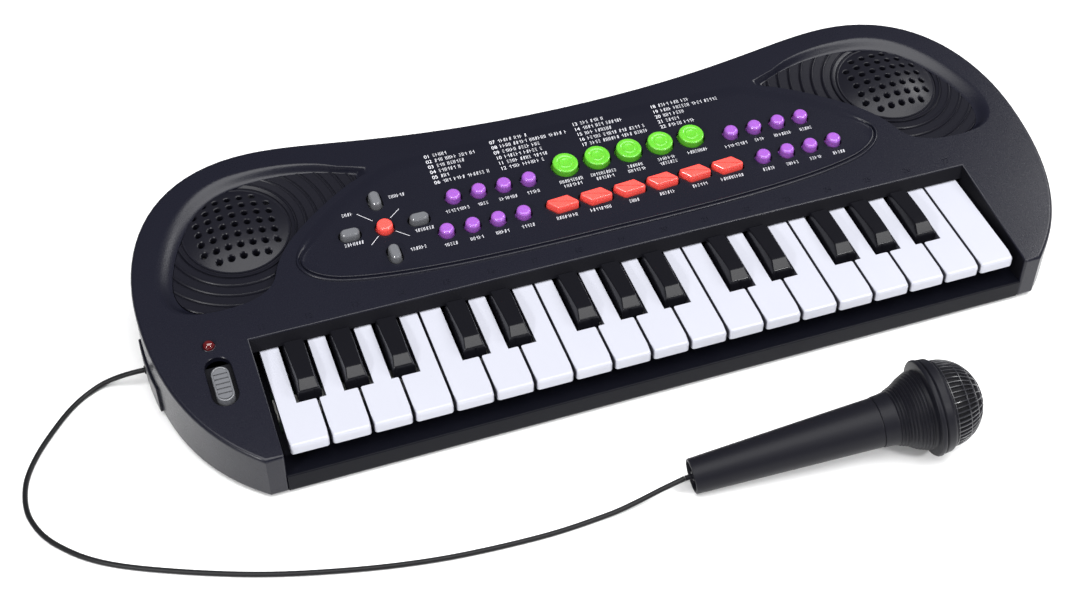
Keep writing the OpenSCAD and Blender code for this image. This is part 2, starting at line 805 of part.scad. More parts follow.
// A closed tube along a line of points, with the given number of sides.
module tube(line, r, sides) {
    n = len(line);
    rings = [for (i = [0:n - 1])
        let (along = unit(line[min(i + 1, n - 1)] - line[max(i - 1, 0)]),
            side = unit(cross([0, 0, 1], along)), up = cross(along, side))
        for (k = [0:sides - 1]) let (a = 360 * (k + 0.5) / sides)
            line[i] + r * (cos(a) * side + sin(a) * up)];
    walls = [for (i = [0:n - 2], k = [0:sides - 1]) let (m = (k + 1) % sides)
        [i * sides + k, (i + 1) * sides + k, (i + 1) * sides + m, i * sides + m]];
    ends = [[for (k = [0:sides - 1]) k], [for (k = [sides - 1:-1:0]) (n - 1) * sides + k]];
    polyhedron(points = rings, faces = concat(walls, ends));
}

module mic_cable() {
    color(MIC_COLOR) tube(spline_points(CABLE_ROUTE, cable_step), cable_r, 8);
}

upper_case();
lower_case();
battery_door();
batteries();
battery_contacts();
case_screws();
speaker_grilles();
speaker_frames();
speaker_cones();
key_hinge_frame();
key_pivot_rod();
key_contact_board();
contact_rubber();
main_board();
power_led();
power_switch_knob();
drum_pads();
function_buttons();
rhythm_buttons();
tone_buttons();
tempo_volume_buttons();
stop_button();
cord_strain_relief();
mic_cable();
mic_handle();
mic_head();
mic_grille();
mic_capsule();
for (i = [0:white_keys - 1])
    white_key(i);
for (k = [0:len(BLACK_NAMES) - 1])
    black_key(k);
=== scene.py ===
import random
from math import atan, cos, hypot, pi, radians, sin, sqrt, tan

import bmesh
import bpy
from mathutils import Matrix, Vector
from mathutils.geometry import delaunay_2d_cdt


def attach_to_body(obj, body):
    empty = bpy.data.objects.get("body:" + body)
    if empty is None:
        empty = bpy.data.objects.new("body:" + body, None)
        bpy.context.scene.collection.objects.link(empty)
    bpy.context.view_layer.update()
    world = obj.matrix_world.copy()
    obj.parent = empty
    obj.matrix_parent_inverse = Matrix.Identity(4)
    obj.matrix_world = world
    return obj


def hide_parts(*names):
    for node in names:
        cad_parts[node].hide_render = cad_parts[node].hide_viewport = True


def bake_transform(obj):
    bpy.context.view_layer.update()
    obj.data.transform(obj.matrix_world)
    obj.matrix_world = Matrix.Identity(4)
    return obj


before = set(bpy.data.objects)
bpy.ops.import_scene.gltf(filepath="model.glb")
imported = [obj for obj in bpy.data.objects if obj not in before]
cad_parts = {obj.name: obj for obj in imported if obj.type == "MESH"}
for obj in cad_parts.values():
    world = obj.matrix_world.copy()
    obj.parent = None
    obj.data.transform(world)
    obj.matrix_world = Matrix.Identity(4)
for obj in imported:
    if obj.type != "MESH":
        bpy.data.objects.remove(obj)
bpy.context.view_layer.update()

# Lengths are in millimetres in the shapes below, and MM turns them into metres.
MM = 0.001

# ---- Frame of the case's top: x along the keys, v up the slope, w out of the top ----
SLOPE = radians(9)
FRONT_Y = -46.6
KEY_Y = FRONT_Y + 5
TOP_Z = 27.7 + 5 * tan(SLOPE)
PANEL_H = 1.2
PLATEAU = 0.6
WALL = 2.4
GRILLE_W = -6

# ---- Keys ----
PITCH = 20.5
KEY_GAP = 1.3
KEY_TOP = 31
KEY_DROP = 3.6
KEY_LEN = 61.4
SKIRT_Z = 21.6
HEAD_LEN = 25
KEY_BACK = 66
NOTCH_W = 14.6
HINGE_Y = 80
HINGE_Z = KEY_TOP - 4
KEY_BELLY = HINGE_Z - 3
WHITE_NAMES = "f3 g3 a3 b3 c4 d4 e4 f4 g4 a4 b4 c5 d5 e5 f5 g5 a5 b5 c6".split()
BLACK_SHIFT = {"f": -3.1, "g": 0, "a": 3.1, "c": -1.6, "d": 1.6}
KEYS_W = len(WHITE_NAMES) * PITCH

# ---- Buttons ----
CLUSTER_X = 25.7
STOP_AT = (-115, 113.3)
CROSS_REACH = 18.5
VOICE_R = 3.9
VOICE_PITCH = 14
# The two rows of voice buttons: v, and the distance of the row's middle from the cluster's.
VOICE_ROWS = ((122.6, 79.7), (101.4, 89.9))
PAD_R = 6.9
PAD_PITCH = 18.3
PAD_V = 126.6
FUNCTION_PITCH = 18.9
FUNCTION_V = 101
STOP_R = 4.3
OVAL_LEN = 10.5
OVAL_W = 6
SWITCH_AT = (-216, 45)
LED_AT = (-217.4, 66.9)
LED_R = 2.9
SPEAKER_AT = (188, 137)
DISC_R = 28
BUTTON_GAP = 0.75

# ---- Microphone ----
TAIL_R = 8.75
NECK_R = 12.3
RING_R = 24
RING_FROM = 117
RING_TO = 124
SEAM_AT = 93.5
DOME_FROM = 126
MIC_LEN = 146


# ======== Small geometry helpers ========

def curve(points, count):
    """Points along a cubic curve, without its last one."""
    found = []
    for i in range(count):
        t = i / count
        u = 1 - t
        weights = (u ** 3, 3 * u * u * t, 3 * u * t * t, t ** 3)
        found.append(tuple(sum(w * p[k] for w, p in zip(weights, points)) for k in (0, 1)))
    return found


def curves(start, *parts):
    """Points along joined curves. Each part has two handles, an end and a number of points."""
    found = []
    for a, b, end, count in parts:
        found += curve([start, a, b, end], count)
        start = end
    return found


def angles(step, count, start=0):
    """Evenly spaced angles, given in degrees and returned in radians."""
    return [radians(start + step * k) for k in range(count)]


def full_turn(count):
    return [2 * pi * i / count for i in range(count)]


def arc(centre, radii, turns):
    """Points around a centre at the given angles, with a radius along each axis."""
    return [(centre[0] + radii[0] * cos(a), centre[1] + radii[1] * sin(a)) for a in turns]


def circle(centre, radius, count):
    return arc(centre, (radius, radius), full_turn(count))


def stadium(centre, length, width, turned=False, count=12):
    """Outline of an oval with straight sides, along v, or along x if it is turned."""
    reach = (length - width) / 2
    found = []
    for side, start in ((1, 0), (-1, pi)):
        turns = [pi * i / count + start for i in range(count + 1)]
        found += arc((0, side * reach), (width / 2, width / 2), turns)
    if turned:
        found = [(-y, x) for x, y in found]
    return [(centre[0] + x, centre[1] + y) for x, y in found]


def mirrored(points):
    return [(-x, y) for x, y in reversed(points)]


def miters(points):
    """For each corner of a counter-clockwise outline, the step that moves both of its sides
    inwards by one."""
    normals = []
    for p, q in zip(points, points[1:] + points[:1]):
        d = Vector((q[0] - p[0], q[1] - p[1])).normalized()
        normals.append(Vector((-d.y, d.x)))
    return [(a + b) / max(0.3, 1 + a.dot(b)) for a, b in zip(normals[-1:] + normals, normals)]


def inset(points, distance):
    """The outline moved inwards, by one distance or by one for each corner."""
    steps = miters(points)
    by = distance if hasattr(distance, "__len__") else [distance] * len(points)
    return [(p[0] + m.x * d, p[1] + m.y * d) for p, m, d in zip(points, steps, by)]


def rounded_edge(outline, reach, drop, top, steps):
    """Rows of points along a rounded upper edge. reach and drop say how far the rounding goes
    inwards and down at each corner, and top(y) is the height that it ends at."""
    rows = []
    for k in range(steps + 1):
        a = pi / 2 * k / steps
        moved = inset(outline, [r * (1 - cos(a)) for r in reach])
        rows.append([(x, y, top(y) - d * (1 - sin(a))) for (x, y), d in zip(moved, drop)])
    return rows


def inside(point, polygon):
    x, y = point
    odd = False
    for (x1, y1), (x2, y2) in zip(polygon, polygon[1:] + polygon[:1]):
        if (y1 > y) != (y2 > y) and x < (x2 - x1) * (y - y1) / (y2 - y1) + x1:
            odd = not odd
    return odd


def smooth(t):
    t = min(1, max(0, t))
    return t * t * (3 - 2 * t)


def between(table, t):
    """Straight interpolation in a table of (place, value) pairs."""
    for (a, u), (b, v) in zip(table, table[1:]):
        if t <= b:
            return u + (v - u) * max(0, t - a) / (b - a)
    return table[-1][1]


def triangulate(loops, lines, keep):
    """Triangles between closed loops and open lines, those whose middle passes keep."""
    coords, edges = [], []
    for points, closed in [(p, True) for p in loops] + [(p, False) for p in lines]:
        start = len(coords)
        coords += [Vector(p) for p in points]
        last = len(points) if closed else len(points) - 1
        edges += [(start + i, start + (i + 1) % len(points)) for i in range(last)]
    found = delaunay_2d_cdt(coords, edges, [], 0, 1e-5)
    points = [(p.x, p.y) for p in found[0]]
    kept = []
    for face in found[2]:
        middle = [sum(points[i][k] for i in face) / 3 for k in (0, 1)]
        if keep(middle):
            kept.append(tuple(face))
    return points, kept


def top_point(x, v, w):
    y = KEY_Y + v * cos(SLOPE) - w * sin(SLOPE)
    return (x, y, TOP_Z + v * sin(SLOPE) + w * cos(SLOPE))


def top_height(y):
    """Height of the case's top above the floor, at y."""
    return TOP_Z + (y - KEY_Y) * tan(SLOPE)


MIC_TILT = atan((RING_R - TAIL_R) / RING_FROM)
MIC_TURN = radians(-4.9)
MIC_AXIS = Vector((cos(MIC_TILT) * cos(MIC_TURN), cos(MIC_TILT) * sin(MIC_TURN), sin(MIC_TILT)))
MIC_SIDE = Vector((-sin(MIC_TURN), cos(MIC_TURN), 0))
MIC_UP = MIC_AXIS.cross(MIC_SIDE)
RING_REACH = (1.5 - RING_TO) * MIC_AXIS.y + RING_R * sqrt(1 - MIC_AXIS.y ** 2)
MIC_TAIL = Vector((-17, RING_REACH - 141.4, TAIL_R * cos(MIC_TILT)))


def mic_point(r, angle, s):
    return MIC_TAIL + MIC_AXIS * s + r * (cos(angle) * MIC_SIDE + sin(angle) * MIC_UP)


# ======== Meshes ========

def in_scene(name, data):
    made = bpy.data.objects.new(name, data)
    bpy.context.scene.collection.objects.link(made)
    return made


class Shape:
    """Points and faces that become one mesh."""

    def __init__(self):
        self.points = []
        self.faces = []

    def ring(self, points):
        start = len(self.points)
        self.points += [tuple(p) for p in points]
        return list(range(start, len(self.points)))

    def strip(self, a, b, closed=True):
        count = len(a) if closed else len(a) - 1
        for i in range(count):
            j = (i + 1) % len(a)
            corners = tuple(dict.fromkeys((a[i], a[j], b[j], b[i])))
            if len(corners) > 2:
                self.faces.append(corners)

    def cap(self, ring):
        self.faces.append(tuple(ring))

    def rings(self, rows, closed=True):
        """Joins several rows of points, one after the other."""
        made = [self.ring(row) for row in rows]
        for a, b in zip(made, made[1:]):
            self.strip(a, b, closed)
        return made

    def block(self, rows):
        """A solid between several rows of points, closed at both ends."""
        made = self.rings(rows)
        self.cap(made[0])
        self.cap(made[-1])

    def lathe(self, profile, place, count):
        """Turns a closed or open profile of (radius, height) about the axis that place knows."""
        made = []
        for r, h in profile:
            if r < 1e-6:
                made.append(self.ring([place(0, 0, h)]) * count)
            else:
                made.append(self.ring([place(r, a, h) for a in full_turn(count)]))
        for a, b in zip(made, made[1:]):
            self.strip(a, b)

    def pillar(self, outline, levels):
        """A block on the case's top: each level has the distance that the outline moves inwards
        there, and its height."""
        self.block([[top_point(x, v, w) for x, v in inset(outline, d)] for d, w in levels])

    def box(self, low, high):
        """A box on the case's top, between two corners given as x, v and w."""
        sides = [(low[0], low[1]), (high[0], low[1]), (high[0], high[1]), (low[0], high[1])]
        self.pillar(sides, [(0, low[2]), (0, high[2])])

    def surface(self, points, triangles, height):
        made = self.ring([top_point(x, v, height(x, v)) for x, v in points])
        self.faces += [tuple(made[i] for i in t) for t in triangles]
        return made

    def plate(self, points, triangles, upper, lower):
        """A plate on the case's top, with an upper side that varies and a flat lower side."""
        a = self.surface(points, triangles, upper)
        b = self.surface(points, triangles, lambda x, v: lower)
        sides = {}
        for t in triangles:
            for i in range(3):
                sides[(t[i], t[(i + 1) % 3])] = True
        for i, j in sides:
            if (j, i) not in sides:
                self.faces.append((a[i], a[j], b[j], b[i]))

    def object(self, name, material, angle, crisp):
        mesh = bpy.data.meshes.new(name)
        mesh.from_pydata([Vector(p) * MM for p in self.points], [], self.faces)
        work = bmesh.new()
        work.from_mesh(mesh)
        bmesh.ops.remove_doubles(work, verts=work.verts, dist=2e-6)
        bmesh.ops.dissolve_degenerate(work, dist=1e-7, edges=work.edges)
        loose = [v for v in work.verts if not v.link_faces]
        bmesh.ops.delete(work, geom=loose, context="VERTS")
        bmesh.ops.recalc_face_normals(work, faces=work.faces)
        work.to_mesh(mesh)
        work.free()
        mesh.shade_smooth()
        mesh.set_sharp_from_angle(angle=radians(angle))
        mesh.materials.append(material)
        made = in_scene(name, mesh)
        if crisp:
            modifier = made.modifiers.new("crisp", "WEIGHTED_NORMAL")
            modifier.keep_sharp = True
        return made

    def piece(self, name, material, body, nodes=(), angle=32, crisp=True):
        """The mesh as a piece of the given body, which may replace nodes of the CAD."""
        return attach(self.object(name, material, angle, crisp), body, nodes)


def attach(made, body, nodes=()):
    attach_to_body(made, body)
    if nodes:
        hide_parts(*nodes)
    return made


# ======== Materials ========

def feed(tree, node, inputs):
    """Sets a node's inputs, each to a value or to the output of another node."""
    for name, value in inputs.items():
        if isinstance(value, bpy.types.NodeSocket):
            tree.links.new(value, node.inputs[name])
        else:
            node.inputs[name].default_value = value


def add_node(tree, kind, result, inputs=None, **settings):
    """Adds a shader node and returns its output called result."""
    made = tree.nodes.new("ShaderNode" + kind)
    for name, value in settings.items():
        setattr(made, name, value)
    feed(tree, made, inputs or {})
    return made.outputs[result]


def finish(name, color, rough, grain=900, depth=0.02, mottle=0.06, spread=0.06, streak=None,
           **sockets):
    """A moulded or painted surface: fine grain in the bump, and slow changes of shade and gloss.
    grain is in bumps to the metre, depth in millimetres."""
    made = bpy.data.materials.new(name)
    made.use_nodes = True
    tree = made.node_tree
    place = add_node(tree, "TexCoord", "Object")
    source = place
    if streak:
        source = add_node(tree, "Mapping", "Vector", {"Vector": place, "Scale": streak})
    fine = add_node(tree, "TexNoise", "Fac", {"Vector": source, "Scale": grain, "Detail": 3})
    slow = add_node(tree, "TexNoise", "Fac", {"Vector": place, "Scale": 35, "Detail": 5})
    darker = (*(min(1, c * (1 - mottle) ** 2) for c in color), 1)
    lighter = (*(min(1, c * (1 + mottle)) for c in color), 1)
    shade = add_node(tree, "Mix", "Result", {"Factor": slow, "A": darker, "B": lighter},
                     data_type="RGBA")
    gloss = add_node(tree, "MapRange", "Result", {
        "Value": fine, "To Min": max(0.02, rough - spread), "To Max": min(1, rough + spread)})
    bump = add_node(tree, "Bump", "Normal",
                    {"Height": fine, "Strength": 1, "Distance": depth * MM})
    inputs = {key.replace("_", " ").title().replace("Ior", "IOR"): value
              for key, value in sockets.items()}
    inputs.update({"Base Color": shade, "Roughness": gloss, "Normal": bump})
    feed(tree, tree.nodes["Principled BSDF"], inputs)
    return made


def paint_side_shade(material):
    """Paints shade into the base colour of the key's faces that look along the row, where the next
    key stands against them and shades them.
    """
    tree = material.node_tree
    shader = tree.nodes["Principled BSDF"]
    upper = shader.inputs["Base Color"].links[0].from_socket
    normal = add_node(tree, "TexCoord", "Normal")
    along = add_node(tree, "SeparateXYZ", "X", {"Vector": normal})
    size = add_node(tree, "Math", "Value", {"Value": along}, operation="ABSOLUTE")
    share = add_node(tree, "MapRange", "Result",
                     {"Value": size, "From Min": 0.75, "From Max": 0.95})
    # The painted shade colour, mixed in where the face looks along the row.
    shade = add_node(tree, "Mix", "Result",
                     {"Factor": share, "A": upper, "B": (0.06, 0.06, 0.075, 1)},
                     data_type="RGBA")
    feed(tree, shader, {"Base Color": shade})


CASE = finish("case", (0.0060, 0.0062, 0.0118), 0.29, grain=1500, depth=0.03,
              specular_ior_level=0.27)
# Painted shade: a darker, less glossy copy of the case plastic for the front rail, whose front face
# lies in shade.
RAIL_SHADE = finish("front_rail", (0.0030, 0.0032, 0.0056), 0.32, grain=1500, depth=0.03,
              specular_ior_level=0.07)
CASE_BASE = finish("case_base", (0.0060, 0.0062, 0.0105), 0.46, grain=1300, depth=0.04,
                   specular_ior_level=0.2)
GRILLE = finish("grille", (0.0062, 0.0062, 0.0100), 0.34, grain=1400, specular_ior_level=0.22)
# Painted shade: a darker, duller copy of the case plastic for the key well's walls, the button
# holes' walls and the plate under the switch slider, where shade falls.
WELL_SHADE = finish("key_well", (0.004, 0.004, 0.006), 0.50, grain=1300, depth=0.03,
                    specular_ior_level=0.12)
WHITE_KEY = finish("white_key", (0.405, 0.412, 0.465), 0.30, grain=500, depth=0.004, mottle=0.02,
                   spread=0.05, coat_weight=0.12, coat_roughness=0.12)
# Painted shade: the key's faces towards its neighbours are darkened in the colour.
paint_side_shade(WHITE_KEY)
BLACK_KEY = finish("black_key", (0.0045, 0.0045, 0.0065), 0.24, grain=600, depth=0.006,
                   specular_ior_level=0.24)
SOFT_PLASTIC = {"subsurface_weight": 0.1, "subsurface_scale": 0.002}
GREEN = finish("green_pad", (0.105, 0.43, 0.028), 0.18, grain=800, depth=0.008, mottle=0.05,
               **SOFT_PLASTIC)
RED = finish("red_button", (0.90, 0.085, 0.070), 0.17, grain=800, depth=0.008, mottle=0.04,
             **SOFT_PLASTIC)
PURPLE = finish("purple_button", (0.27, 0.085, 0.42), 0.13, grain=800, depth=0.008, mottle=0.05,
                **SOFT_PLASTIC)
GREY = finish("grey_button", (0.115, 0.118, 0.128), 0.18, depth=0.012, mottle=0.05)
INK = finish("print_ink", (0.66, 0.66, 0.70), 0.5, grain=2500, depth=0.01, mottle=0.05)
MIC = finish("mic_plastic", (0.0062, 0.0062, 0.0092), 0.44, grain=1500, depth=0.025,
             specular_ior_level=0.13)
MIC_GLOSS = finish("mic_grille_plastic", (0.020, 0.020, 0.024), 0.24, grain=1200, depth=0.012)
MIC_DARK = finish("mic_grille_backing", (0.003, 0.003, 0.004), 0.7, depth=0.03,
                  specular_ior_level=0.15)
RUBBER = finish("cable_rubber", (0.006, 0.006, 0.007), 0.42, grain=2000, specular_ior_level=0.2)
LENS = finish("led_lens", (0.12, 0.003, 0.005), 0.08, grain=300, depth=0.01, mottle=0.2,
              transmission_weight=0.35, ior=1.5, coat_weight=0.6, coat_roughness=0.03)
STEEL = finish("steel", (0.60, 0.60, 0.62), 0.30, grain=700, depth=0.01, metallic=1.0,
               streak=(1, 1, 14))
SPEAKER_STEEL = finish("speaker_steel", (0.45, 0.45, 0.47), 0.40, metallic=1.0)
PAPER = finish("speaker_paper", (0.03, 0.03, 0.032), 0.85, grain=1800, depth=0.08)
BOARD = finish("circuit_board", (0.008, 0.022, 0.012), 0.35, grain=600, depth=0.01, mottle=0.15)
SILICONE = finish("contact_rubber", (0.45, 0.45, 0.43), 0.65)
BATTERY = finish("battery_wrap", (0.03, 0.10, 0.06), 0.25, grain=400, depth=0.01, mottle=0.2)


# ======== Camera, light and floor ========

CAMERA_AT = (-0.2553, -0.5569, 0.6196)
CAMERA_LOOKS = (0.2398, 0.6728, -0.6999)
LENS_MM = 55.63


def aimed(name, data, place, direction):
    made = in_scene(name, data)
    made.location = place
    made.rotation_mode = "QUATERNION"
    made.rotation_quaternion = direction.to_track_quat("-Z", "Y")
    return made


def make_camera():
    data = bpy.data.cameras.new("camera")
    data.lens = LENS_MM
    data.sensor_width = 36
    data.clip_start = 0.01
    data.clip_end = 20
    bpy.context.scene.camera = aimed("camera", data, CAMERA_AT, Vector(CAMERA_LOOKS))


def softbox(name, place, size, power, target=(0, 0.05, 0.02)):
    data = bpy.data.lights.new(name, "AREA")
    data.shape = "RECTANGLE"
    data.size, data.size_y = size
    data.energy = power
    aimed(name, data, place, Vector(target) - Vector(place))


def make_studio():
    """One wide softbox overhead, a smaller one at the back right, two little ones in front, and
    a faint white surround."""
    world = bpy.data.worlds.new("studio")
    world.use_nodes = True
    surround = world.node_tree.nodes["Background"]
    feed(world.node_tree, surround, {"Color": (0.96, 0.97, 1, 1), "Strength": 0.15})
    bpy.context.scene.world = world
    bpy.context.scene.view_settings.view_transform = "Standard"
    softbox("overhead", (0.2, -0.45, 1.7), (2.6, 1.4), 66, (0.2, -0.45, 0))
    softbox("back_right", (1.10, 0.30, 0.92), (0.45, 0.35), 6)
    softbox("front_left", (-1.05, -0.65, 0.70), (0.13, 0.16), 9)
    softbox("front_right", (0.6, -1.0, 0.8), (0.12, 0.15), 7)
    floor = finish("pale_floor", (0.90, 0.90, 0.90), 0.8, grain=60, depth=0.01, mottle=0.01)
    data = bpy.data.meshes.new("floor")
    reach = 6
    corners = [(-reach, -reach, 0), (reach, -reach, 0), (reach, reach, 0), (-reach, reach, 0)]
    data.from_pydata(corners, [], [(0, 1, 2, 3)])
    data.materials.append(floor)
    in_scene("floor", data)


# ======== Cable ========

CABLE_D = 2.6
CABLE_EXIT = (-249.5, 49, 9)
CABLE_END = tuple(MIC_TAIL - 3.3 * MIC_AXIS)
CABLE_ROUTE = [
    CABLE_EXIT, (-257, 50, 8), (-265, 52, 5), (-273, 52, 2.4), (-284, 46, 1.4),
    (-295, 35, 1.4), (-309, 16, 1.4), (-316.5, -2, 1.4), (-316.5, -22, 1.4), (-306, -42, 1.4),
    (-282, -62, 1.4), (-232, -85, 1.4), (-187, -99, 1.4), (-142, -108, 1.4), (-95, -111.5, 1.4),
    (-62, -110.4, 1.8), (-46, -109, 3.4), (-33, -107.8, 6), CABLE_END]


def spline(points, step):
    """Points along a smooth line through the given ones."""
    p = [Vector(q) for q in points]
    p = [2 * p[0] - p[1]] + p + [2 * p[-1] - p[-2]]
    found = []
    for a, b, c, d in zip(p, p[1:], p[2:], p[3:]):
        count = max(1, round((c - b).length / step))
        for i in range(count):
            t = i / count
            found.append(0.5 * (2 * b + (c - a) * t + (2 * a - 5 * b + 4 * c - d) * t * t
                                + (3 * b - a - 3 * c + d) * t ** 3))
    found.append(p[-2])
    return found


def directions(points, closed=False):
    """Unit direction of a line at each of its points."""
    ahead = points[1:] + (points[:1] if closed else points[-1:])
    behind = (points[-1:] if closed else points[:1]) + points[:-1]
    return [(b - a).normalized() for a, b in zip(behind, ahead)]


def tube(shape, line, radius, sides):
    rows = []
    for p, along in zip(line, directions(line)):
        side = Vector((0, 0, 1)).cross(along).normalized()
        up = along.cross(side)
        rows.append([p + radius * (cos(a) * side + sin(a) * up) for a in full_turn(sides)])
    shape.block(rows)


def make_cable():
    line = spline(CABLE_ROUTE, 2.5)
    shape = Shape()
    tube(shape, line, CABLE_D / 2, 16)
    cable = shape.object("cable", RUBBER, angle=60, crisp=False)
    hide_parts("mic_cable")
    path = [tuple(p * MM) for p in line]
    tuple(path[-1])
    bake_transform(cable)
    relief = make_strain_relief()
    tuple(path[0])


def make_strain_relief():
    """The collar in the side of the case, around the cable."""
    x, y, z = CABLE_EXIT

    def place(r, a, s):
        return (x + s, y + r * cos(a), z + r * sin(a))

    shape = Shape()
    shape.lathe([(1.28, 0.6), (1.5, 0), (2.0, 0.1), (2.25, 0.5), (2.4, 1.2), (2.4, 5.5),
                 (3.6, 5.5), (3.6, 8), (0.8, 8), (0.8, 0.6), (1.28, 0.6)], place, 32)
    return shape.piece("strain_relief", RUBBER, "root", ["cord_strain_relief"])


# ======== Case ========

FOOT_Z = 1.5
RAIL_TOP = 13
LEDGE_BACK = 13
WELL_X = KEYS_W / 2 + 3.25
WELL_BACK = 64.3
EDGE_R = 1.9
WELL_R = 0.7


def case_half():
    return curves((207, 0), ((231, 20), (247.5, 50), (247.5, 100), 18),
                  ((247.5, 145), (225, 188), (170, 188), 20),
                  ((135, 188), (95, 172), (0, 172), 16))


def case_outline():
    half = case_half()
    return [(x, y + FRONT_Y) for x, y in half + [(0, 172)] + mirrored(half)]


def well_corner(side):
    """The upper corner between the front face and the key well, slightly rounded."""
    r = 1.4
    found = [(WELL_X + r * (1 - cos(a)), FRONT_Y + r * (1 - sin(a))) for a in angles(22.5, 5)]
    return found if side > 0 else mirrored(found)


def case_top_outline():
    """Outline of the case's top, which the key well cuts into from the front, with the reach of
    the rounding along its edge."""
    outer = well_corner(1) + case_outline() + well_corner(-1)
    back = KEY_Y + WELL_BACK
    well = [(-WELL_X, FRONT_Y + 8), (-WELL_X, back), (WELL_X, back), (WELL_X, FRONT_Y + 8)]
    radii = [EDGE_R] * len(outer) + [WELL_R] * len(well)
    for k in range(5):
        near = WELL_R + (1.3 - WELL_R) * k / 4
        radii[k] = near
        radii[len(outer) - 1 - k] = near
    return outer + well, radii, len(outer)


def insert_outline():
    """The right speaker insert, counter-clockwise, with its tail pointing to the middle."""
    return curves((119, 152.5), ((160, 128), (171, 115), (176.5, 100), 18),
                  ((180, 91), (190, 87), (205, 87), 10),
                  ((222, 87), (229, 97), (226, 112), 12),
                  ((222, 130), (210, 158), (185, 164.5), 16),
                  ((165, 168.5), (140, 167), (119, 156), 14)) + [(119, 156)]


BAND_WIDE = 9.0
BAND_SLIM = 0.6
BAND_DEPTH = 3.4
TAIL_TIP = 6


def averaged(values, passes):
    """Values round a closed outline, each evened out with its neighbours."""
    for _ in range(passes):
        values = [(a + 2 * b + c) / 4
                  for a, b, c in zip(values[-1:] + values[:-1], values, values[1:] + values[:1])]
    return values


def recess_outline():
    """The upper edge of the recess around the insert: wide at the back and outer side, and ending
    in a point towards the middle."""
    outline = insert_outline()
    normals = [-m.normalized() for m in miters(outline)]
    shares = [smooth((0.9 * out.x + 0.45 * out.y + 0.35) / 1.3) for out in normals]
    reach = averaged([BAND_SLIM + (BAND_WIDE - BAND_SLIM) * share for share in shares], 6)
    xs = averaged([out.x for out in normals], 2)
    vs = averaged([out.y for out in normals], 2)
    found = []
    for (x, v), step, dx, dv in zip(outline, reach, xs, vs):
        near_tail = smooth((140 - x) / 21)
        step *= 1 - 0.35 * near_tail
        tip = TAIL_TIP * smooth((131 - x) / 12) ** 2
        found.append((x + dx * step - tip, v + dv * step + 0.15 * tip))
    return found


def panel_half():
    return curves((0, 77), ((70, 76.5), (120, 79), (145, 86), 16),
                  ((158, 90), (166, 98), (164, 106), 14),
                  ((161, 116), (150, 132), (114, 150), 16),
                  ((108, 154), (104, 156.5), (94, 157.5), 6)) + [(60, 158), (20, 158)]


# The panel's edge as (reach, height): two beads with a groove between them in front, and one soft
# slope at the back.
BEAD = [(0, 0), (0.2, 0.55), (0.5, 0.9), (0.9, 1.0), (1.3, 0.85), (1.55, 0.4), (1.7, -0.3),
        (2.3, -0.3), (2.45, 0.3), (2.75, 0.85), (3.15, 1.0), (3.6, 0.88), (4.1, PLATEAU)]
SOFT = [(0, 0), (0.5, 0.01), (1.1, 0.04), (1.8, 0.10), (2.5, 0.17), (3.2, 0.25), (4.0, 0.33),
        (4.8, 0.41), (5.6, 0.48), (6.4, 0.53), (7.1, 0.565), (7.8, 0.59), (8.6, PLATEAU)]


def panel_rows():
    """Points along the panel's edge, which turns from beads to a slope over 20 mm from v = 104."""
    outline = panel_half() + mirrored(panel_half()[1:])
    rows = []
    for (d1, w1), (d2, w2) in zip(BEAD, SOFT):
        share = [smooth((v - 104) / 20) for x, v in outline]
        moved = inset(outline, [d1 + (d2 - d1) * s for s in share])
        rows.append([(x, v, w1 + (w2 - w1) * s) for (x, v), s in zip(moved, share)])
    return rows


def row_places(middle, pitch, count, v):
    return [(middle + (i - (count - 1) / 2) * pitch, v) for i in range(count)]


def voice_places(side):
    """Places of the eight buttons on the left, with side -1, or on the right, with side 1."""
    return [p for v, reach in VOICE_ROWS
            for p in row_places(CLUSTER_X + side * reach, VOICE_PITCH, 4, v)]


def pad_places():
    return row_places(CLUSTER_X, PAD_PITCH, 5, PAD_V)


def function_places():
    return row_places(CLUSTER_X, FUNCTION_PITCH, 6, FUNCTION_V)


def cross_places():
    """Places of the four oval buttons, and whether each lies along x."""
    x, v = STOP_AT
    return [((x + CROSS_REACH * a, v + CROSS_REACH * b), b == 0)
            for a, b in ((0, -1), (-1, 0), (0, 1), (1, 0))]


LEAF = [(-8.4, 1.2), (-3.8, -4.2), (8.1, -3.3), (8.4, -1.2), (3.8, 4.2), (-8.1, 3.3)]


def leaf(centre, grow=0):
    """A function button's outline, with its corners rounded."""
    rounded = []
    for i, p in enumerate(LEAF):
        p = Vector(p)
        before = (Vector(LEAF[i - 1]) - p).normalized() * 0.8
        after = (Vector(LEAF[(i + 1) % len(LEAF)]) - p).normalized() * 0.8
        for t in (0, 0.33, 0.67, 1):
            rounded.append(tuple(p + before * (1 - t) ** 2 + after * t * t))
    return [(centre[0] + x, centre[1] + y) for x, y in inset(rounded, -grow)]


def button_holes():
    gap = BUTTON_GAP
    holes = [circle(p, VOICE_R + gap, 32) for side in (-1, 1) for p in voice_places(side)]
    holes += [circle(p, PAD_R + gap, 48) for p in pad_places()]
    holes += [leaf(p, gap) for p in function_places()]
    holes += [stadium(p, OVAL_LEN + 2 * gap, OVAL_W + 2 * gap, turned)
              for p, turned in cross_places()]
    holes.append(circle(STOP_AT, STOP_R + gap, 36))
    return holes


LIP = 0.3


def hole_wall(shape, hole, top, bottom):
    """A hole's wall, with a small chamfer at its upper edge. Returns the chamfer's outer loop."""
    outer = inset(hole, -LIP)
    shape.rings([[top_point(x, v, top) for x, v in outer],
                 [top_point(x, v, top - LIP) for x, v in hole],
                 [top_point(x, v, bottom) for x, v in hole]])
    return outer


def flat_region(shape, outer, holes, height):
    def keep(middle):
        return inside(middle, outer) and not any(inside(middle, h) for h in holes)

    points, triangles = triangulate([outer, *holes], [], keep)
    shape.surface(points, triangles, lambda x, v: height)


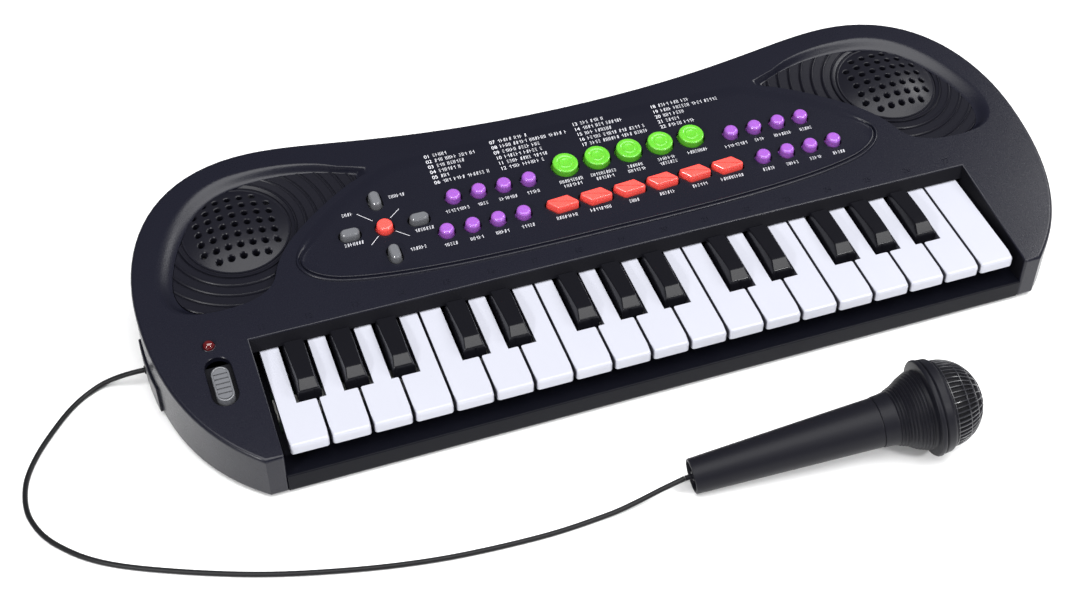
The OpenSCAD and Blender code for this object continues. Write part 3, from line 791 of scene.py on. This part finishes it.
def recess_band(shape, mirror):
    """The sloping band around a speaker insert and the wall below it."""
    upper, lower = recess_outline(), insert_outline()
    flip = -1 if mirror else 1
    rows = []
    for share in (k / 14 for k in range(15)):
        fall = -BAND_DEPTH * smooth(share) ** 1.15
        rows.append([top_point(flip * (a[0] + (b[0] - a[0]) * share),
                               a[1] + (b[1] - a[1]) * share, fall) for a, b in zip(upper, lower)])
    rows.append([top_point(flip * x, v, GRILLE_W) for x, v in lower])
    shape.rings(rows)


def make_case():
    shape = Shape()
    outline, radii, outer_count = case_top_outline()
    rows = rounded_edge(outline, radii, radii, top_height, 6)
    shape.rings(rows)

    # Outer wall, down to its rounded foot and up again inside
    outer = outline[:outer_count]
    edge = rows[0][:outer_count]
    normals = miters(outline)[:outer_count]
    walls = [edge]
    for reach, z in ((0, 3.9), (0.25, 3.0), (0.8, 2.2), (1.6, 1.6), (WALL, FOOT_Z), (WALL, 9)):
        walls.append([(p[0] + m.x * reach, p[1] + m.y * reach, z)
                      for p, m in zip(outer, normals)])
    shape.rings(walls, closed=False)

    # Side walls of the key well, and its back wall, in the darker well material as painted shade
    key_well = Shape()
    back = KEY_Y + WELL_BACK
    foot = KEY_Y + KEY_LEN
    foot_z = KEY_TOP + 0.9
    last = len(outline) - 1
    for chain in ([0, last, last - 1], [outer_count - 1, outer_count, outer_count + 1]):
        top = [rows[0][i] for i in chain]
        key_well.rings([top, [(x, y, FOOT_Z) for x, y, z in top]], closed=False)
    left, right = rows[0][outer_count + 1], rows[0][outer_count + 2]
    steps = [(back, left[2]), (foot, foot_z), (foot + WALL, foot_z), (back + WALL, 36)]
    key_well.rings([[(left[0], y, z), (right[0], y, z)] for y, z in steps], closed=False)
    key_well.piece("key_well_walls", WELL_SHADE, "root")

    panel = panel_rows()
    shape.rings([[top_point(*p) for p in row] for row in panel])
    # The button holes' walls and lips, in the darker well material: a painted shaded ring round
    # each button.
    button_wells = Shape()
    flat_region(shape, [p[:2] for p in panel[-1]],
                [hole_wall(button_wells, hole, PLATEAU, -WALL) for hole in button_holes()], PLATEAU)
    button_wells.piece("button_wells", WELL_SHADE, "root")

    slot = stadium(SWITCH_AT, 29, 13, count=16)
    light = circle(LED_AT, LED_R + 0.15, 40)
    cuts = [hole_wall(shape, slot, 0, -WALL - 1), hole_wall(shape, light, 0, -WALL)]
    recess = recess_outline()
    cuts += [recess, mirrored(recess), [p[:2] for p in panel[0]]]
    for mirror in (False, True):
        recess_band(shape, mirror)
    flat = [(x, (y - KEY_Y) / cos(SLOPE)) for x, y, z in rows[-1]]
    flat_region(shape, flat, cuts, 0)
    shape.piece("case_shell", CASE, "root", ["upper_case"], 38)
    make_rail()
    make_side_plate()


def make_rail():
    """The rail in front of the keys and the ledge behind it."""
    y = FRONT_Y
    r = 0.7
    profile = [(y + 1.6, FOOT_Z), (y + 0.8, 1.8), (y + 0.25, 2.6), (y, 3.6)]
    profile += [(y + r * (1 - cos(a)), RAIL_TOP - r * (1 - sin(a))) for a in angles(15, 7)]
    profile += [(y + LEDGE_BACK, RAIL_TOP), (y + LEDGE_BACK, RAIL_TOP - WALL),
                (y + WALL, RAIL_TOP - WALL), (y + WALL, FOOT_Z)]
    shape = Shape()
    half = WELL_X + 0.02
    shape.block([[(x, b, z) for b, z in profile] for x in (-half, half)])
    # The rail in the darker rail material: painted shade on its front face and ledge.
    shape.piece("front_rail", RAIL_SHADE, "root", angle=38)


def make_side_plate():
    """A low plate on the left wall, around the cable's exit."""
    outline = case_outline()
    wall = [(p, m) for p, m in zip(outline, miters(outline)) if p[0] < 0 and 22 < p[1] < 64]
    rows = []
    for proud, z in ((0, 4), (1.1, 4.1), (1.4, 4.5), (1.4, 19.5), (1.1, 19.9), (0, 20)):
        face = [(p[0] - m.x * proud, p[1] - m.y * proud, z) for p, m in wall]
        rows.append([(*wall[0][0], z), *face, (*wall[-1][0], z)])
    shape = Shape()
    shape.rings(rows, closed=False)
    shape.piece("side_plate", CASE, "root", angle=38)


# ======== Speaker grilles ========

GRID = 6.37
HOLE_R = 1.7
SPHERE_R = 67
DOME_RIM_W = -4
# Radii of the steps around the domed disc.
STEPS = [31.2, 36.8, 43, 49.4] + [49.4 + 6.5 * k for k in range(1, 12)]
STEP_W = -2.5
# Distances from a radius and heights: the disc's edge, a step's foot and its outer edge.
DISC_EDGE = ((-0.6, 0.5), (-0.15, 0.5), (0.1, -0.2), (0.7, -0.2), (0.9, 0.4), (1.6, 0.6))
STEP_FOOT = ((0.1, -1.1), (0.5, -1.05), (0.8, -0.75))
STEP_EDGE = ((-1.5, -0.3), (-1.15, 0.1), (-0.8, 0.18), (-0.4, -0.05), (-0.05, -0.5))


def grille_profile():
    """Height of the grille at a distance from the middle of its disc, as (distance, height)."""
    rim = sqrt(SPHERE_R ** 2 - DISC_R ** 2)
    found = []
    for k in range(13):
        r = (DISC_R - 0.9) * k / 12
        found.append((r, DOME_RIM_W + sqrt(SPHERE_R ** 2 - r * r) - rim))
    found += [(DISC_R + r, DOME_RIM_W + w) for r, w in DISC_EDGE]
    found += [(STEPS[0] + r, STEP_W + w) for r, w in ((-0.7, -0.45), (-0.45, 0.05), (-0.1, 0.05))]
    for low, high in zip(STEPS, STEPS[1:]):
        found += [(low + r, STEP_W + w) for r, w in STEP_FOOT]
        found += [(high + r, STEP_W + w) for r, w in STEP_EDGE]
    return found


def grille_holes():
    reach = range(-3, 4)
    return [(SPEAKER_AT[0] + GRID * i, SPEAKER_AT[1] + GRID * j)
            for i in reach for j in reach if i * i + j * j <= 13]


def runs(points, kept):
    """The unbroken runs of kept points, those of two points or more."""
    found = [[]]
    for p, keep in zip(points, kept):
        if keep:
            found[-1].append(p)
        else:
            found.append([])
    return [run for run in found if len(run) > 1]


def arcs_inside(outline, radius):
    """The parts of a circle round the speaker's middle that lie in the outline, and one point
    more at each end."""
    count = 144 if radius > 5 else 24
    ring = circle(SPEAKER_AT, radius, count)
    flags = [inside(p, outline) for p in ring]
    if all(flags):
        return [ring + ring[:1]]
    near = [flags[i - 1] or flags[i] or flags[(i + 1) % count] for i in range(count)]
    return runs(ring + ring[:1], near + near[:1])


def make_grilles():
    outline = inset(insert_outline(), 0.3)
    profile = grille_profile()
    centres = grille_holes()
    chamfer = HOLE_R + 0.45

    def near_hole(p, reach):
        return any((p[0] - c[0]) ** 2 + (p[1] - c[1]) ** 2 < reach * reach for c in centres)

    parts = [part for r, _ in profile if r > 1 for part in arcs_inside(outline, r)]
    lines = [run for part in parts
             for run in runs(part, [not near_hole(p, chamfer + 0.3) for p in part])]
    rims = [circle(c, chamfer, 20) for c in centres]
    bores = [circle(c, HOLE_R, 20) for c in centres]

    def solid(middle):
        return inside(middle, outline) and not near_hole(middle, HOLE_R - 0.05)

    points, triangles = triangulate([outline, *rims, *bores], lines, solid)

    def height(x, v):
        r = hypot(x - SPEAKER_AT[0], v - SPEAKER_AT[1])
        w = between(profile, r)
        return w - 0.4 if near_hole((x, v), HOLE_R + 0.1) else w

    for name, side in (("speaker_grille_right", 1), ("speaker_grille_left", -1)):
        shape = Shape()
        moved = [(side * x, v) for x, v in points]
        shape.plate(moved, triangles, lambda x, v: height(side * x, v), GRILLE_W)
        replaced = ["speaker_grilles"] if side > 0 else []
        shape.piece(name, GRILLE, "root", replaced, 34)


# ======== Keys ========

def gap_x(i):
    return -KEYS_W / 2 + i * PITCH


def has_black_after(i):
    return WHITE_NAMES[i][0] in BLACK_SHIFT and i < len(WHITE_NAMES) - 1


def black_x(i):
    return gap_x(i + 1) + BLACK_SHIFT[WHITE_NAMES[i][0]]


def white_top(y):
    return KEY_TOP - KEY_DROP * (1 - (y - KEY_Y) / KEY_LEN)


def make_white_key(i):
    x0, x1 = gap_x(i) + KEY_GAP / 2, gap_x(i + 1) - KEY_GAP / 2
    left = black_x(i - 1) + NOTCH_W / 2 if i and has_black_after(i - 1) else x0
    right = black_x(i) - NOTCH_W / 2 if has_black_after(i) else x1
    corner, head = 1.8, HEAD_LEN
    rounded = [p for x, start in ((x0 + corner, 180), (x1 - corner, 270))
               for p in arc((x, corner), (corner, corner), angles(22.5, 5, start))]
    plain = [(x1, 6)]
    if right < x1:
        plain += [(x1, head - 0.8), (x1 - 0.25, head - 0.25), (x1 - 0.8, head), (right, head)]
    plain += [(right, KEY_BACK), (left, KEY_BACK)]
    if left > x0:
        plain += [(left, head), (x0 + 0.8, head), (x0 + 0.25, head - 0.25), (x0, head - 0.8)]
    plain += [(x0, 6)]
    outline = [(x, y + KEY_Y) for x, y in rounded + plain]
    reach = [1.3] * len(rounded) + [0.35] * len(plain)
    drop = [2.2] * len(rounded) + [0.4] * len(plain)
    shape = Shape()
    shape.block([[(x, y, KEY_BELLY) for x, y in outline],
                 *rounded_edge(outline, reach, drop, white_top, 5)])
    skirt = [(x, y + KEY_Y) for x, y in rounded + [(x1, head), (x0, head)]]
    hollow = inset(skirt, 1.8)
    under = KEY_BELLY + 0.01
    shape.rings([[(x, y, z) for x, y in ring] for ring, z in
                 ((skirt, under), (skirt, SKIRT_Z), (hollow, SKIRT_Z), (hollow, under))])
    key_tongue(shape, (left + right) / 2, 7, 63, HINGE_Z + 3)
    name = "key_" + WHITE_NAMES[i]
    shape.piece(name + "_moulding", WHITE_KEY, name, [name], 40)


def key_tongue(shape, x, width, start, top):
    """The tongue that reaches back to the pivot rod."""
    r = 3.5
    y0, y1 = KEY_Y + start, KEY_Y + HINGE_Y
    profile = [(y0, KEY_BELLY), (y1 - 2, KEY_BELLY)]
    profile += arc((y1, HINGE_Z), (r, r), angles(30, 8, -120))
    profile += [(y1 - 2, top), (y0, top)]
    shape.block([[(x + s * width / 2, y, z) for y, z in profile] for s in (-1, 1)])


# A black key from front to back: distance from the white keys' front, height above their tops,
# and half of its width at the top.
BLACK_ROWS = [(28.3, 0.5, 5.15), (28.55, 0.95, 5.05), (29.0, 1.35, 4.95), (32.6, 3.75, 4.3),
              (33.3, 4.1, 4.2), (34.2, 4.3, 4.2), (38, 4.45, 4.3), (42, 4.5, 4.45),
              (50, 4.35, 4.75), (60.0, 3.95, 5.0), (60.4, 3.7, 5.0)]


def make_black_key(i):
    x = black_x(i)
    shape = Shape()
    rows = []
    for k, (y, h, half) in enumerate(BLACK_ROWS):
        z = KEY_TOP + h
        r = 0.8
        foot = 27.5 if k == 0 else y
        right = [(5.7, foot, KEY_BELLY), (5.7, (foot + y) / 2, KEY_TOP - 0.6)]
        right += [(a, y, b) for a, b in arc((half - r, z - r), (r, r), angles(22.5, 5))]
        row = right + [(-a, b, c) for a, b, c in reversed(right)]
        rows.append([(x + a, KEY_Y + b, c) for a, b, c in row])
    shape.block(rows)
    key_tongue(shape, x, 6, KEY_LEN - 2, HINGE_Z + 2.5)
    name = "key_" + WHITE_NAMES[i] + "_sharp"
    shape.piece(name + "_moulding", BLACK_KEY, name, [name], 40)


def make_keys():
    for i in range(len(WHITE_NAMES)):
        make_white_key(i)
        if has_black_after(i):
            make_black_key(i)


# ======== Buttons ========

def place_at(centre):
    def place(r, angle, w):
        return top_point(centre[0] + r * cos(angle), centre[1] + r * sin(angle), w)
    return place


def foot_profile(r, flange=1.3, stem=2.2):
    """The part of a button or of the light that the case hides: its stem and its flange."""
    return [(0, -7), (stem, -7), (stem, -3.8), (r + flange, -3.8), (r + flange, -2.6), (r, -2.6)]


def domed_profile(r, h):
    top = PANEL_H + h
    found = foot_profile(r)
    found += [(r, PLATEAU), (r - 0.1, top - 1.7)]
    found += arc((r - 1.7, top - 1.7), (1.6, 1.66), angles(12, 7, 12))
    found += [(r * 0.4, top - 0.02), (0, top)]
    return found


def pad_profile(r, h):
    top = PANEL_H + h
    found = foot_profile(r)
    found.append((r, top - 0.8))
    found += arc((r - 0.8, top - 0.8), (0.8, 0.8), angles(20, 4, 20))
    found += [(r - 1.0, top), (4.9, top), (4.65, top - 0.12), (4.4, top - 0.3), (3.7, top - 0.32),
              (3.45, top - 0.25), (3.3, top - 0.05), (3.05, top + 0.02), (2.7, top - 0.1),
              (1.8, top - 0.3), (0.9, top - 0.4), (0, top - 0.42)]
    return found


def lathed_buttons(name, places, profile, material, body, count=40):
    for i, centre in enumerate(places):
        shape = Shape()
        shape.lathe(profile, place_at(centre), count)
        shape.piece(f"{name}_{i + 1}", material, body, [body] if i == 0 else [], 50)


def bevelled_button(name, outline, height, bevel, foot, material, body, first):
    """A button with a straight outline, a bevel round its top and a flat face."""
    centre = (sum(p[0] for p in outline) / len(outline), sum(p[1] for p in outline) / len(outline))
    shape = Shape()
    top = PANEL_H + height
    shape.pillar(outline, [(0, -2.7), (0, PLATEAU), (0.3, top - bevel),
                           (0.42, top - bevel + 0.28), (bevel + 0.1, top - 0.06),
                           (bevel + 0.4, top), (bevel + 0.8, top - 0.03)])
    shape.lathe(foot_profile(0, foot), place_at(centre), 32)
    shape.piece(name, material, body, [body] if first else [], 30)


def make_knob():
    """The slider of the power switch: a rim around a ribbed top."""
    v0 = SWITCH_AT[1] - 3.3
    centre = (SWITCH_AT[0], v0)
    shape = Shape()
    outline = stadium(centre, 20.4, 8.8, count=16)
    shape.pillar(outline, [(0, -2.7), (0, 2.3), (0.2, 2.65), (0.55, 2.8), (0.9, 2.68),
                           (1.05, 2.4), (1.2, 1.9)])
    half_w, rib_foot, rib_top = 3.4, 1.8, 2.75
    for i in range(-2, 2):
        low, high = v0 + 2.8 * i + 0.4, v0 + 2.8 * i + 2.35
        shape.box((centre[0] - half_w, low, rib_foot), (centre[0] + half_w, high, rib_top))
    for side in (-1, 1):
        ring = [(centre[0] + half_w * cos(a), v0 + side * (6.0 + 2.8 * sin(a)))
                for a in angles(15, 13)]
        shape.pillar(ring, [(0, rib_foot), (0, rib_top)])
    # The plate under the slot, in the darker well material as painted shade.
    plate = Shape()
    plate.box((centre[0] - 7.5, v0 - 14, -4.0), (centre[0] + 7.5, v0 + 14, -2.65))
    plate.piece("power_switch_plate", WELL_SHADE, "power_switch_knob")
    shape.piece("power_switch_slider", GREY, "power_switch_knob",
                ["power_switch_knob"], 30)


def make_led():
    place = place_at(LED_AT)
    dome = arc((0, 0.1), (LED_R, LED_R), angles(10, 9))
    shape = Shape()
    shape.lathe([*foot_profile(LED_R, 0.7, LED_R), *dome, (0, 0.1 + LED_R)], place, 40)
    shape.piece("power_light", LENS, "root", ["power_led"], 50)
    collar = Shape()
    profile = ((0.02, -0.5), (0.02, 0.3), (0.25, 0.5), (0.5, 0.4), (0.7, 0.02), (0.7, -0.5),
               (0.02, -0.5))
    collar.lathe([(LED_R + r, w) for r, w in profile], place, 40)
    collar.piece("light_collar", CASE, "root", angle=50)


def make_buttons():
    domed = domed_profile(VOICE_R, 3.2)
    lathed_buttons("rhythm_button", voice_places(-1), domed, PURPLE,
                   "rhythm_buttons")
    lathed_buttons("tone_button", voice_places(1), domed, PURPLE, "tone_buttons")
    lathed_buttons("drum_pad", pad_places(), pad_profile(PAD_R, 2.4), GREEN,
                   "drum_pads", 56)
    lathed_buttons("stop", [STOP_AT], domed_profile(STOP_R, 3), RED, "stop_button")
    for i, centre in enumerate(function_places()):
        bevelled_button(f"function_button_{i + 1}", leaf(centre), 2.8, 0.7, 4.9, RED,
                        "function_buttons", i == 0)
    for i, (centre, turned) in enumerate(cross_places()):
        bevelled_button(f"oval_button_{i + 1}", stadium(centre, OVAL_LEN, OVAL_W, turned), 3, 1.0,
                        4.3, GREY, "tempo_volume_buttons", i == 0)
    make_knob()
    make_led()


# ======== Print on the panel ========

INK_H = 0.04
GLYPH_H = 2.3
GLYPH_W = 1.15
ADVANCE = 1.62
STROKE = 0.24


def stroke(shape, start, end, width=STROKE):
    """A flat line of ink between two points of the panel."""
    a, b = Vector(start), Vector(end)
    along = (b - a).normalized()
    side = Vector((-along.y, along.x)) * width / 2
    corners = [a - side, b - side, b + side, a + side]
    shape.pillar(corners, [(0, PLATEAU + 0.01), (0, PLATEAU + INK_H)])


# Marks that stand for letters without being any, as strokes in a unit square.
MARKS = [
    [((0.15, 0), (0.15, 1)), ((0.8, 0), (0.8, 1))],
    [((0.1, 0.1), (0.9, 0.1)), ((0.1, 0.5), (0.9, 0.5)), ((0.1, 0.9), (0.9, 0.9))],
    [((0.2, 0), (0.45, 1)), ((0.6, 0), (0.85, 1))],
    [((0.2, 0), (0.2, 1)), ((0.2, 0.5), (0.9, 0.5))],
    [((0.8, 0), (0.8, 1)), ((0.1, 0.7), (0.8, 0.7))],
]


def word(shape, x, v, letters, dice, scale=1.0):
    for i in range(letters):
        for a, b in dice.choice(MARKS):
            x0 = x + i * ADVANCE * scale
            start = (x0 + a[0] * GLYPH_W * scale, v + a[1] * GLYPH_H * scale)
            end = (x0 + b[0] * GLYPH_W * scale, v + b[1] * GLYPH_H * scale)
            stroke(shape, start, end, STROKE * scale)


def centred_word(shape, x, v, letters, dice):
    scale = 0.92
    word(shape, x - letters * ADVANCE * scale / 2, v - GLYPH_H * scale / 2, letters, dice, scale)


def digits(text, x, v, size, w, depth=0.02):
    """A number as a mesh, with its lower left corner at x, v."""
    data = bpy.data.curves.new("digits", "FONT")
    data.body = text
    data.size = size * MM
    data.extrude = depth * MM
    data.resolution_u = 3
    maker = in_scene("digits", data)
    bpy.context.view_layer.update()
    mesh = bpy.data.meshes.new_from_object(maker)
    bpy.data.objects.remove(maker)
    origin = Vector(top_point(x, v, w + depth)) * MM
    mesh.transform(Matrix.Translation(origin) @ Matrix.Rotation(SLOPE, 4, "X"))
    return mesh


# Blocks of the list of tunes: left edge, highest row, distance between rows, letters in each row.
TUNE_BLOCKS = [(-81.5, 152.9, 3.77, [6, 15, 11, 8, 3, 17]),
               (-44.7, 152.7, 3.86, [11, 25, 14, 14, 15, 13]),
               (2.9, 152.5, 3.85, [9, 15, 10, 22, 23]),
               (49.1, 152.5, 3.85, [13, 22, 8, 5, 10])]

# Letters in the words under the buttons.
VOICE_LETTERS = (9, 4, 7, 5, 5, 5, 5, 5)
FUNCTION_LETTERS = (8, 8, 4, 6, 6, 9)
PAD_LETTERS = (9, 10, 6, 7, 8)


def join_meshes(name, meshes, material):
    """One object out of several meshes."""
    work = bmesh.new()
    for mesh in meshes:
        work.from_mesh(mesh)
        bpy.data.meshes.remove(mesh)
    joined = bpy.data.meshes.new(name)
    work.to_mesh(joined)
    work.free()
    joined.materials.clear()
    joined.materials.append(material)
    return in_scene(name, joined)


def make_print():
    dice = random.Random(7)
    shape = Shape()
    numbers = []
    tune = 0
    for x, top, pitch, rows in TUNE_BLOCKS:
        for k, letters in enumerate(rows):
            tune += 1
            v = top - k * pitch
            numbers.append(digits(f"{tune:02d}", x, v, 3.3, PLATEAU))
            left = x + 4.9
            while letters > 0:
                run = min(letters, dice.choice((3, 4, 5, 6)))
                word(shape, left, v, run, dice)
                left += (run + 0.7) * ADVANCE
                letters -= run + 1
    for side in (-1, 1):
        for (x, v), n in zip(voice_places(side), VOICE_LETTERS):
            centred_word(shape, x, v - 8.3, n, dice)
    for (x, v), n in zip(function_places(), FUNCTION_LETTERS):
        centred_word(shape, x, v - 7.8, n, dice)
    for i, (x, v) in enumerate(pad_places()):
        centred_word(shape, x, v - 10.4, PAD_LETTERS[i], dice)
        if i < 4:
            centred_word(shape, x, v - 13.6, 7, dice)
    sx, sv = STOP_AT
    for x, v, n in ((sx + 12.1, sv + 19.3, 6), (sx + 13, sv - 17.7, 6), (sx - 17.7, sv - 5.8, 7),
                    (sx + 19.6, sv - 6.6, 7), (sx - 16.2, sv + 13.9, 4)):
        centred_word(shape, x, v, n, dice)
    for near, far in (((-4.7, 6.2), (-11.4, 13.0)), ((4.6, 5.6), (10.6, 10.2)),
                      ((4.8, -3.6), (10.8, -8.8)), ((-4.5, -4.3), (-9.6, -9.0))):
        stroke(shape, (sx + near[0], sv + near[1]), (sx + far[0], sv + far[1]))
    shape.piece("panel_print", INK, "root", crisp=False)
    attach(join_meshes("tune_numbers", numbers, INK), "root")
    make_embossed_numbers()


def make_embossed_numbers():
    """Small raised key numbers between the panel and the keys."""
    made = [digits(str(i + 11), -192.5 + 23.8 * i, 69.2, 4.4, -0.02, 0.12) for i in range(17)]
    attach(join_meshes("embossed_numbers", made, CASE), "root")


# ======== Microphone ========

# Radii of the ring round the dome, each with its distance from the ring's near side.
RING_PROFILE = ((19.3, -1.1), (19.5, -0.6), (20.2, -0.1), (22.4, 0), (23.5, 0.3), (RING_R, 1.0),
                (RING_R, 1.9), (23.7, 2.4), (23.0, 2.5), (22.8, 2.9), (23.2, 3.3), (23.5, 3.7))


def make_mic():
    grip = Shape()
    tail = TAIL_R
    grip.lathe([(0, -3), (1.3, -3), (1.3, 0.5), (2.3, 0.5), (2.3, 2), (tail - 1.6, 2),
                (tail - 1.6, 0.5), (tail - 1.2, 0), (tail - 0.5, 0), (tail - 0.1, 0.3),
                (tail, 1), (tail + 0.9, 24), (tail + 1.8, 47), (tail + 2.7, 70),
                (NECK_R - 0.05, 92.7), (NECK_R - 0.25, SEAM_AT - 0.1), (NECK_R - 1.6, SEAM_AT),
                (NECK_R - 1.6, 60), (tail - 1.6, 4), (0, 4)], mic_point, 96)
    grip.piece("mic_grip", MIC, "microphone", ["mic_handle"], 40)

    base = [(94, NECK_R + 0.3), (97, NECK_R + 0.5), (101, NECK_R + 1.2), (105, 15.0),
            (109, 17.4), (113, 19.2), (116, 19.9), (RING_FROM, 20)]

    head = [(NECK_R - 1.6, SEAM_AT), (NECK_R + 0.1, SEAM_AT), (NECK_R + 0.3, 93.9),
            (NECK_R + 0.5, 97), (NECK_R + 1.0, 100.2)]
    for k in range(10):
        for step, proud in ((0, -0.35), (0.42, 0.3), (0.66, 0.3), (1.0, -0.35)):
            s = 101.0 + 1.46 * k + step
            head.append((between(base, s) + proud, s))
    head += [(r, RING_FROM + s) for r, s in RING_PROFILE]
    head += [(r, RING_TO + s) for r, s in ((23.2, -0.4), (22.9, 0.4), (22.5, 0.9), (22.1, 1.2),
                                           (21.8, 1.3))]
    head += [(21.8, DOME_FROM), (19.8, DOME_FROM), (19.8, RING_FROM),
             (17.4, 112), (13.4, 105), (NECK_R - 1.6, 100), (NECK_R - 1.6, SEAM_AT)]
    bell = Shape()
    bell.lathe(head, mic_point, 112)
    bell.piece("mic_bell", MIC, "microphone", ["mic_head"], 36)
    make_mic_grille()


RISE = MIC_LEN - DOME_FROM
DOME_R = 21.6
RIB_W = 0.62


def dome_point(polar, angle):
    """A point on the microphone's dome, where polar is 0 at its rim and 90 degrees at its tip."""
    return mic_point(DOME_R * cos(polar), angle, DOME_FROM + RISE * sin(polar))


def dome_bar(points, width, closed=False):
    """Sections of a thin bar along points of the dome."""
    rows = []
    for p, along in zip(points, directions(points, closed)):
        up = dome_normal(p)
        side = along.cross(up).normalized() * width / 2
        rows.append([p - side - up * 1.1, p - side - up * 0.2, p - side * 0.5, p + side * 0.5,
                     p + side - up * 0.2, p + side - up * 1.1])
    return rows


def dome_normal(p):
    d = p - (MIC_TAIL + MIC_AXIS * DOME_FROM)
    s = d.dot(MIC_AXIS)
    radial = d - MIC_AXIS * s
    return (radial / DOME_R ** 2 + MIC_AXIS * s / RISE ** 2).normalized()


def make_mic_grille():
    """The microphone's dome: a dark shell under a mesh of thin ribs."""
    shell = Shape()
    inner = arc((0, DOME_FROM), (DOME_R - 1.0, RISE - 1.0), angles(7.5, 12))
    core = arc((0, DOME_FROM), (DOME_R - 2.0, RISE - 2.0), angles(-7.5, 11, 82.5))
    shell.lathe([(DOME_R - 2.0, DOME_FROM), (DOME_R - 1.0, DOME_FROM), *inner[1:],
                 (0, DOME_FROM + RISE - 1.0)], mic_point, 64)
    shell.lathe([(0, DOME_FROM + RISE - 2.0), *core, (DOME_R - 2.0, DOME_FROM)], mic_point, 64)
    shell.piece("mic_dome_shell", MIC_DARK, "microphone", angle=40)

    shape = Shape()
    for k, a in enumerate(full_turn(52)):
        top = (80, 40, 62, 40)[k % 4]
        line = [dome_point(radians(t), a) for t in range(0, top + 1, 4)]
        shape.block(dome_bar(line, RIB_W))
    for polar in (1.5, 22, 40, 54, 66, 80):
        line = [dome_point(radians(polar), a) for a in full_turn(96)]
        made = [shape.ring(row) for row in dome_bar(line, RIB_W, closed=True)]
        for a, b in zip(made, made[1:] + made[:1]):
            shape.strip(a, b)
    shape.piece("mic_dome", MIC_GLOSS, "microphone", ["mic_grille"], 40)


# ======== Inner and lower CAD pieces keep their shape ========

NODE_FINISHES = {
    "lower_case": CASE_BASE, "battery_door": CASE_BASE, "batteries": BATTERY,
    "battery_contacts": STEEL, "case_screws": STEEL, "speaker_frames": SPEAKER_STEEL,
    "speaker_cones": PAPER, "key_hinge_frame": CASE_BASE, "key_pivot_rod": STEEL,
    "key_contact_board": BOARD, "contact_rubber": SILICONE, "main_board": BOARD,
    "mic_capsule": STEEL}


def dress_nodes():
    for name, used in NODE_FINISHES.items():
        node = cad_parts[name]
        node.data.materials.clear()
        node.data.materials.append(used)


make_camera()
make_cable()
make_studio()
make_case()
make_grilles()
make_keys()
make_buttons()
make_print()
make_mic()
dress_nodes()
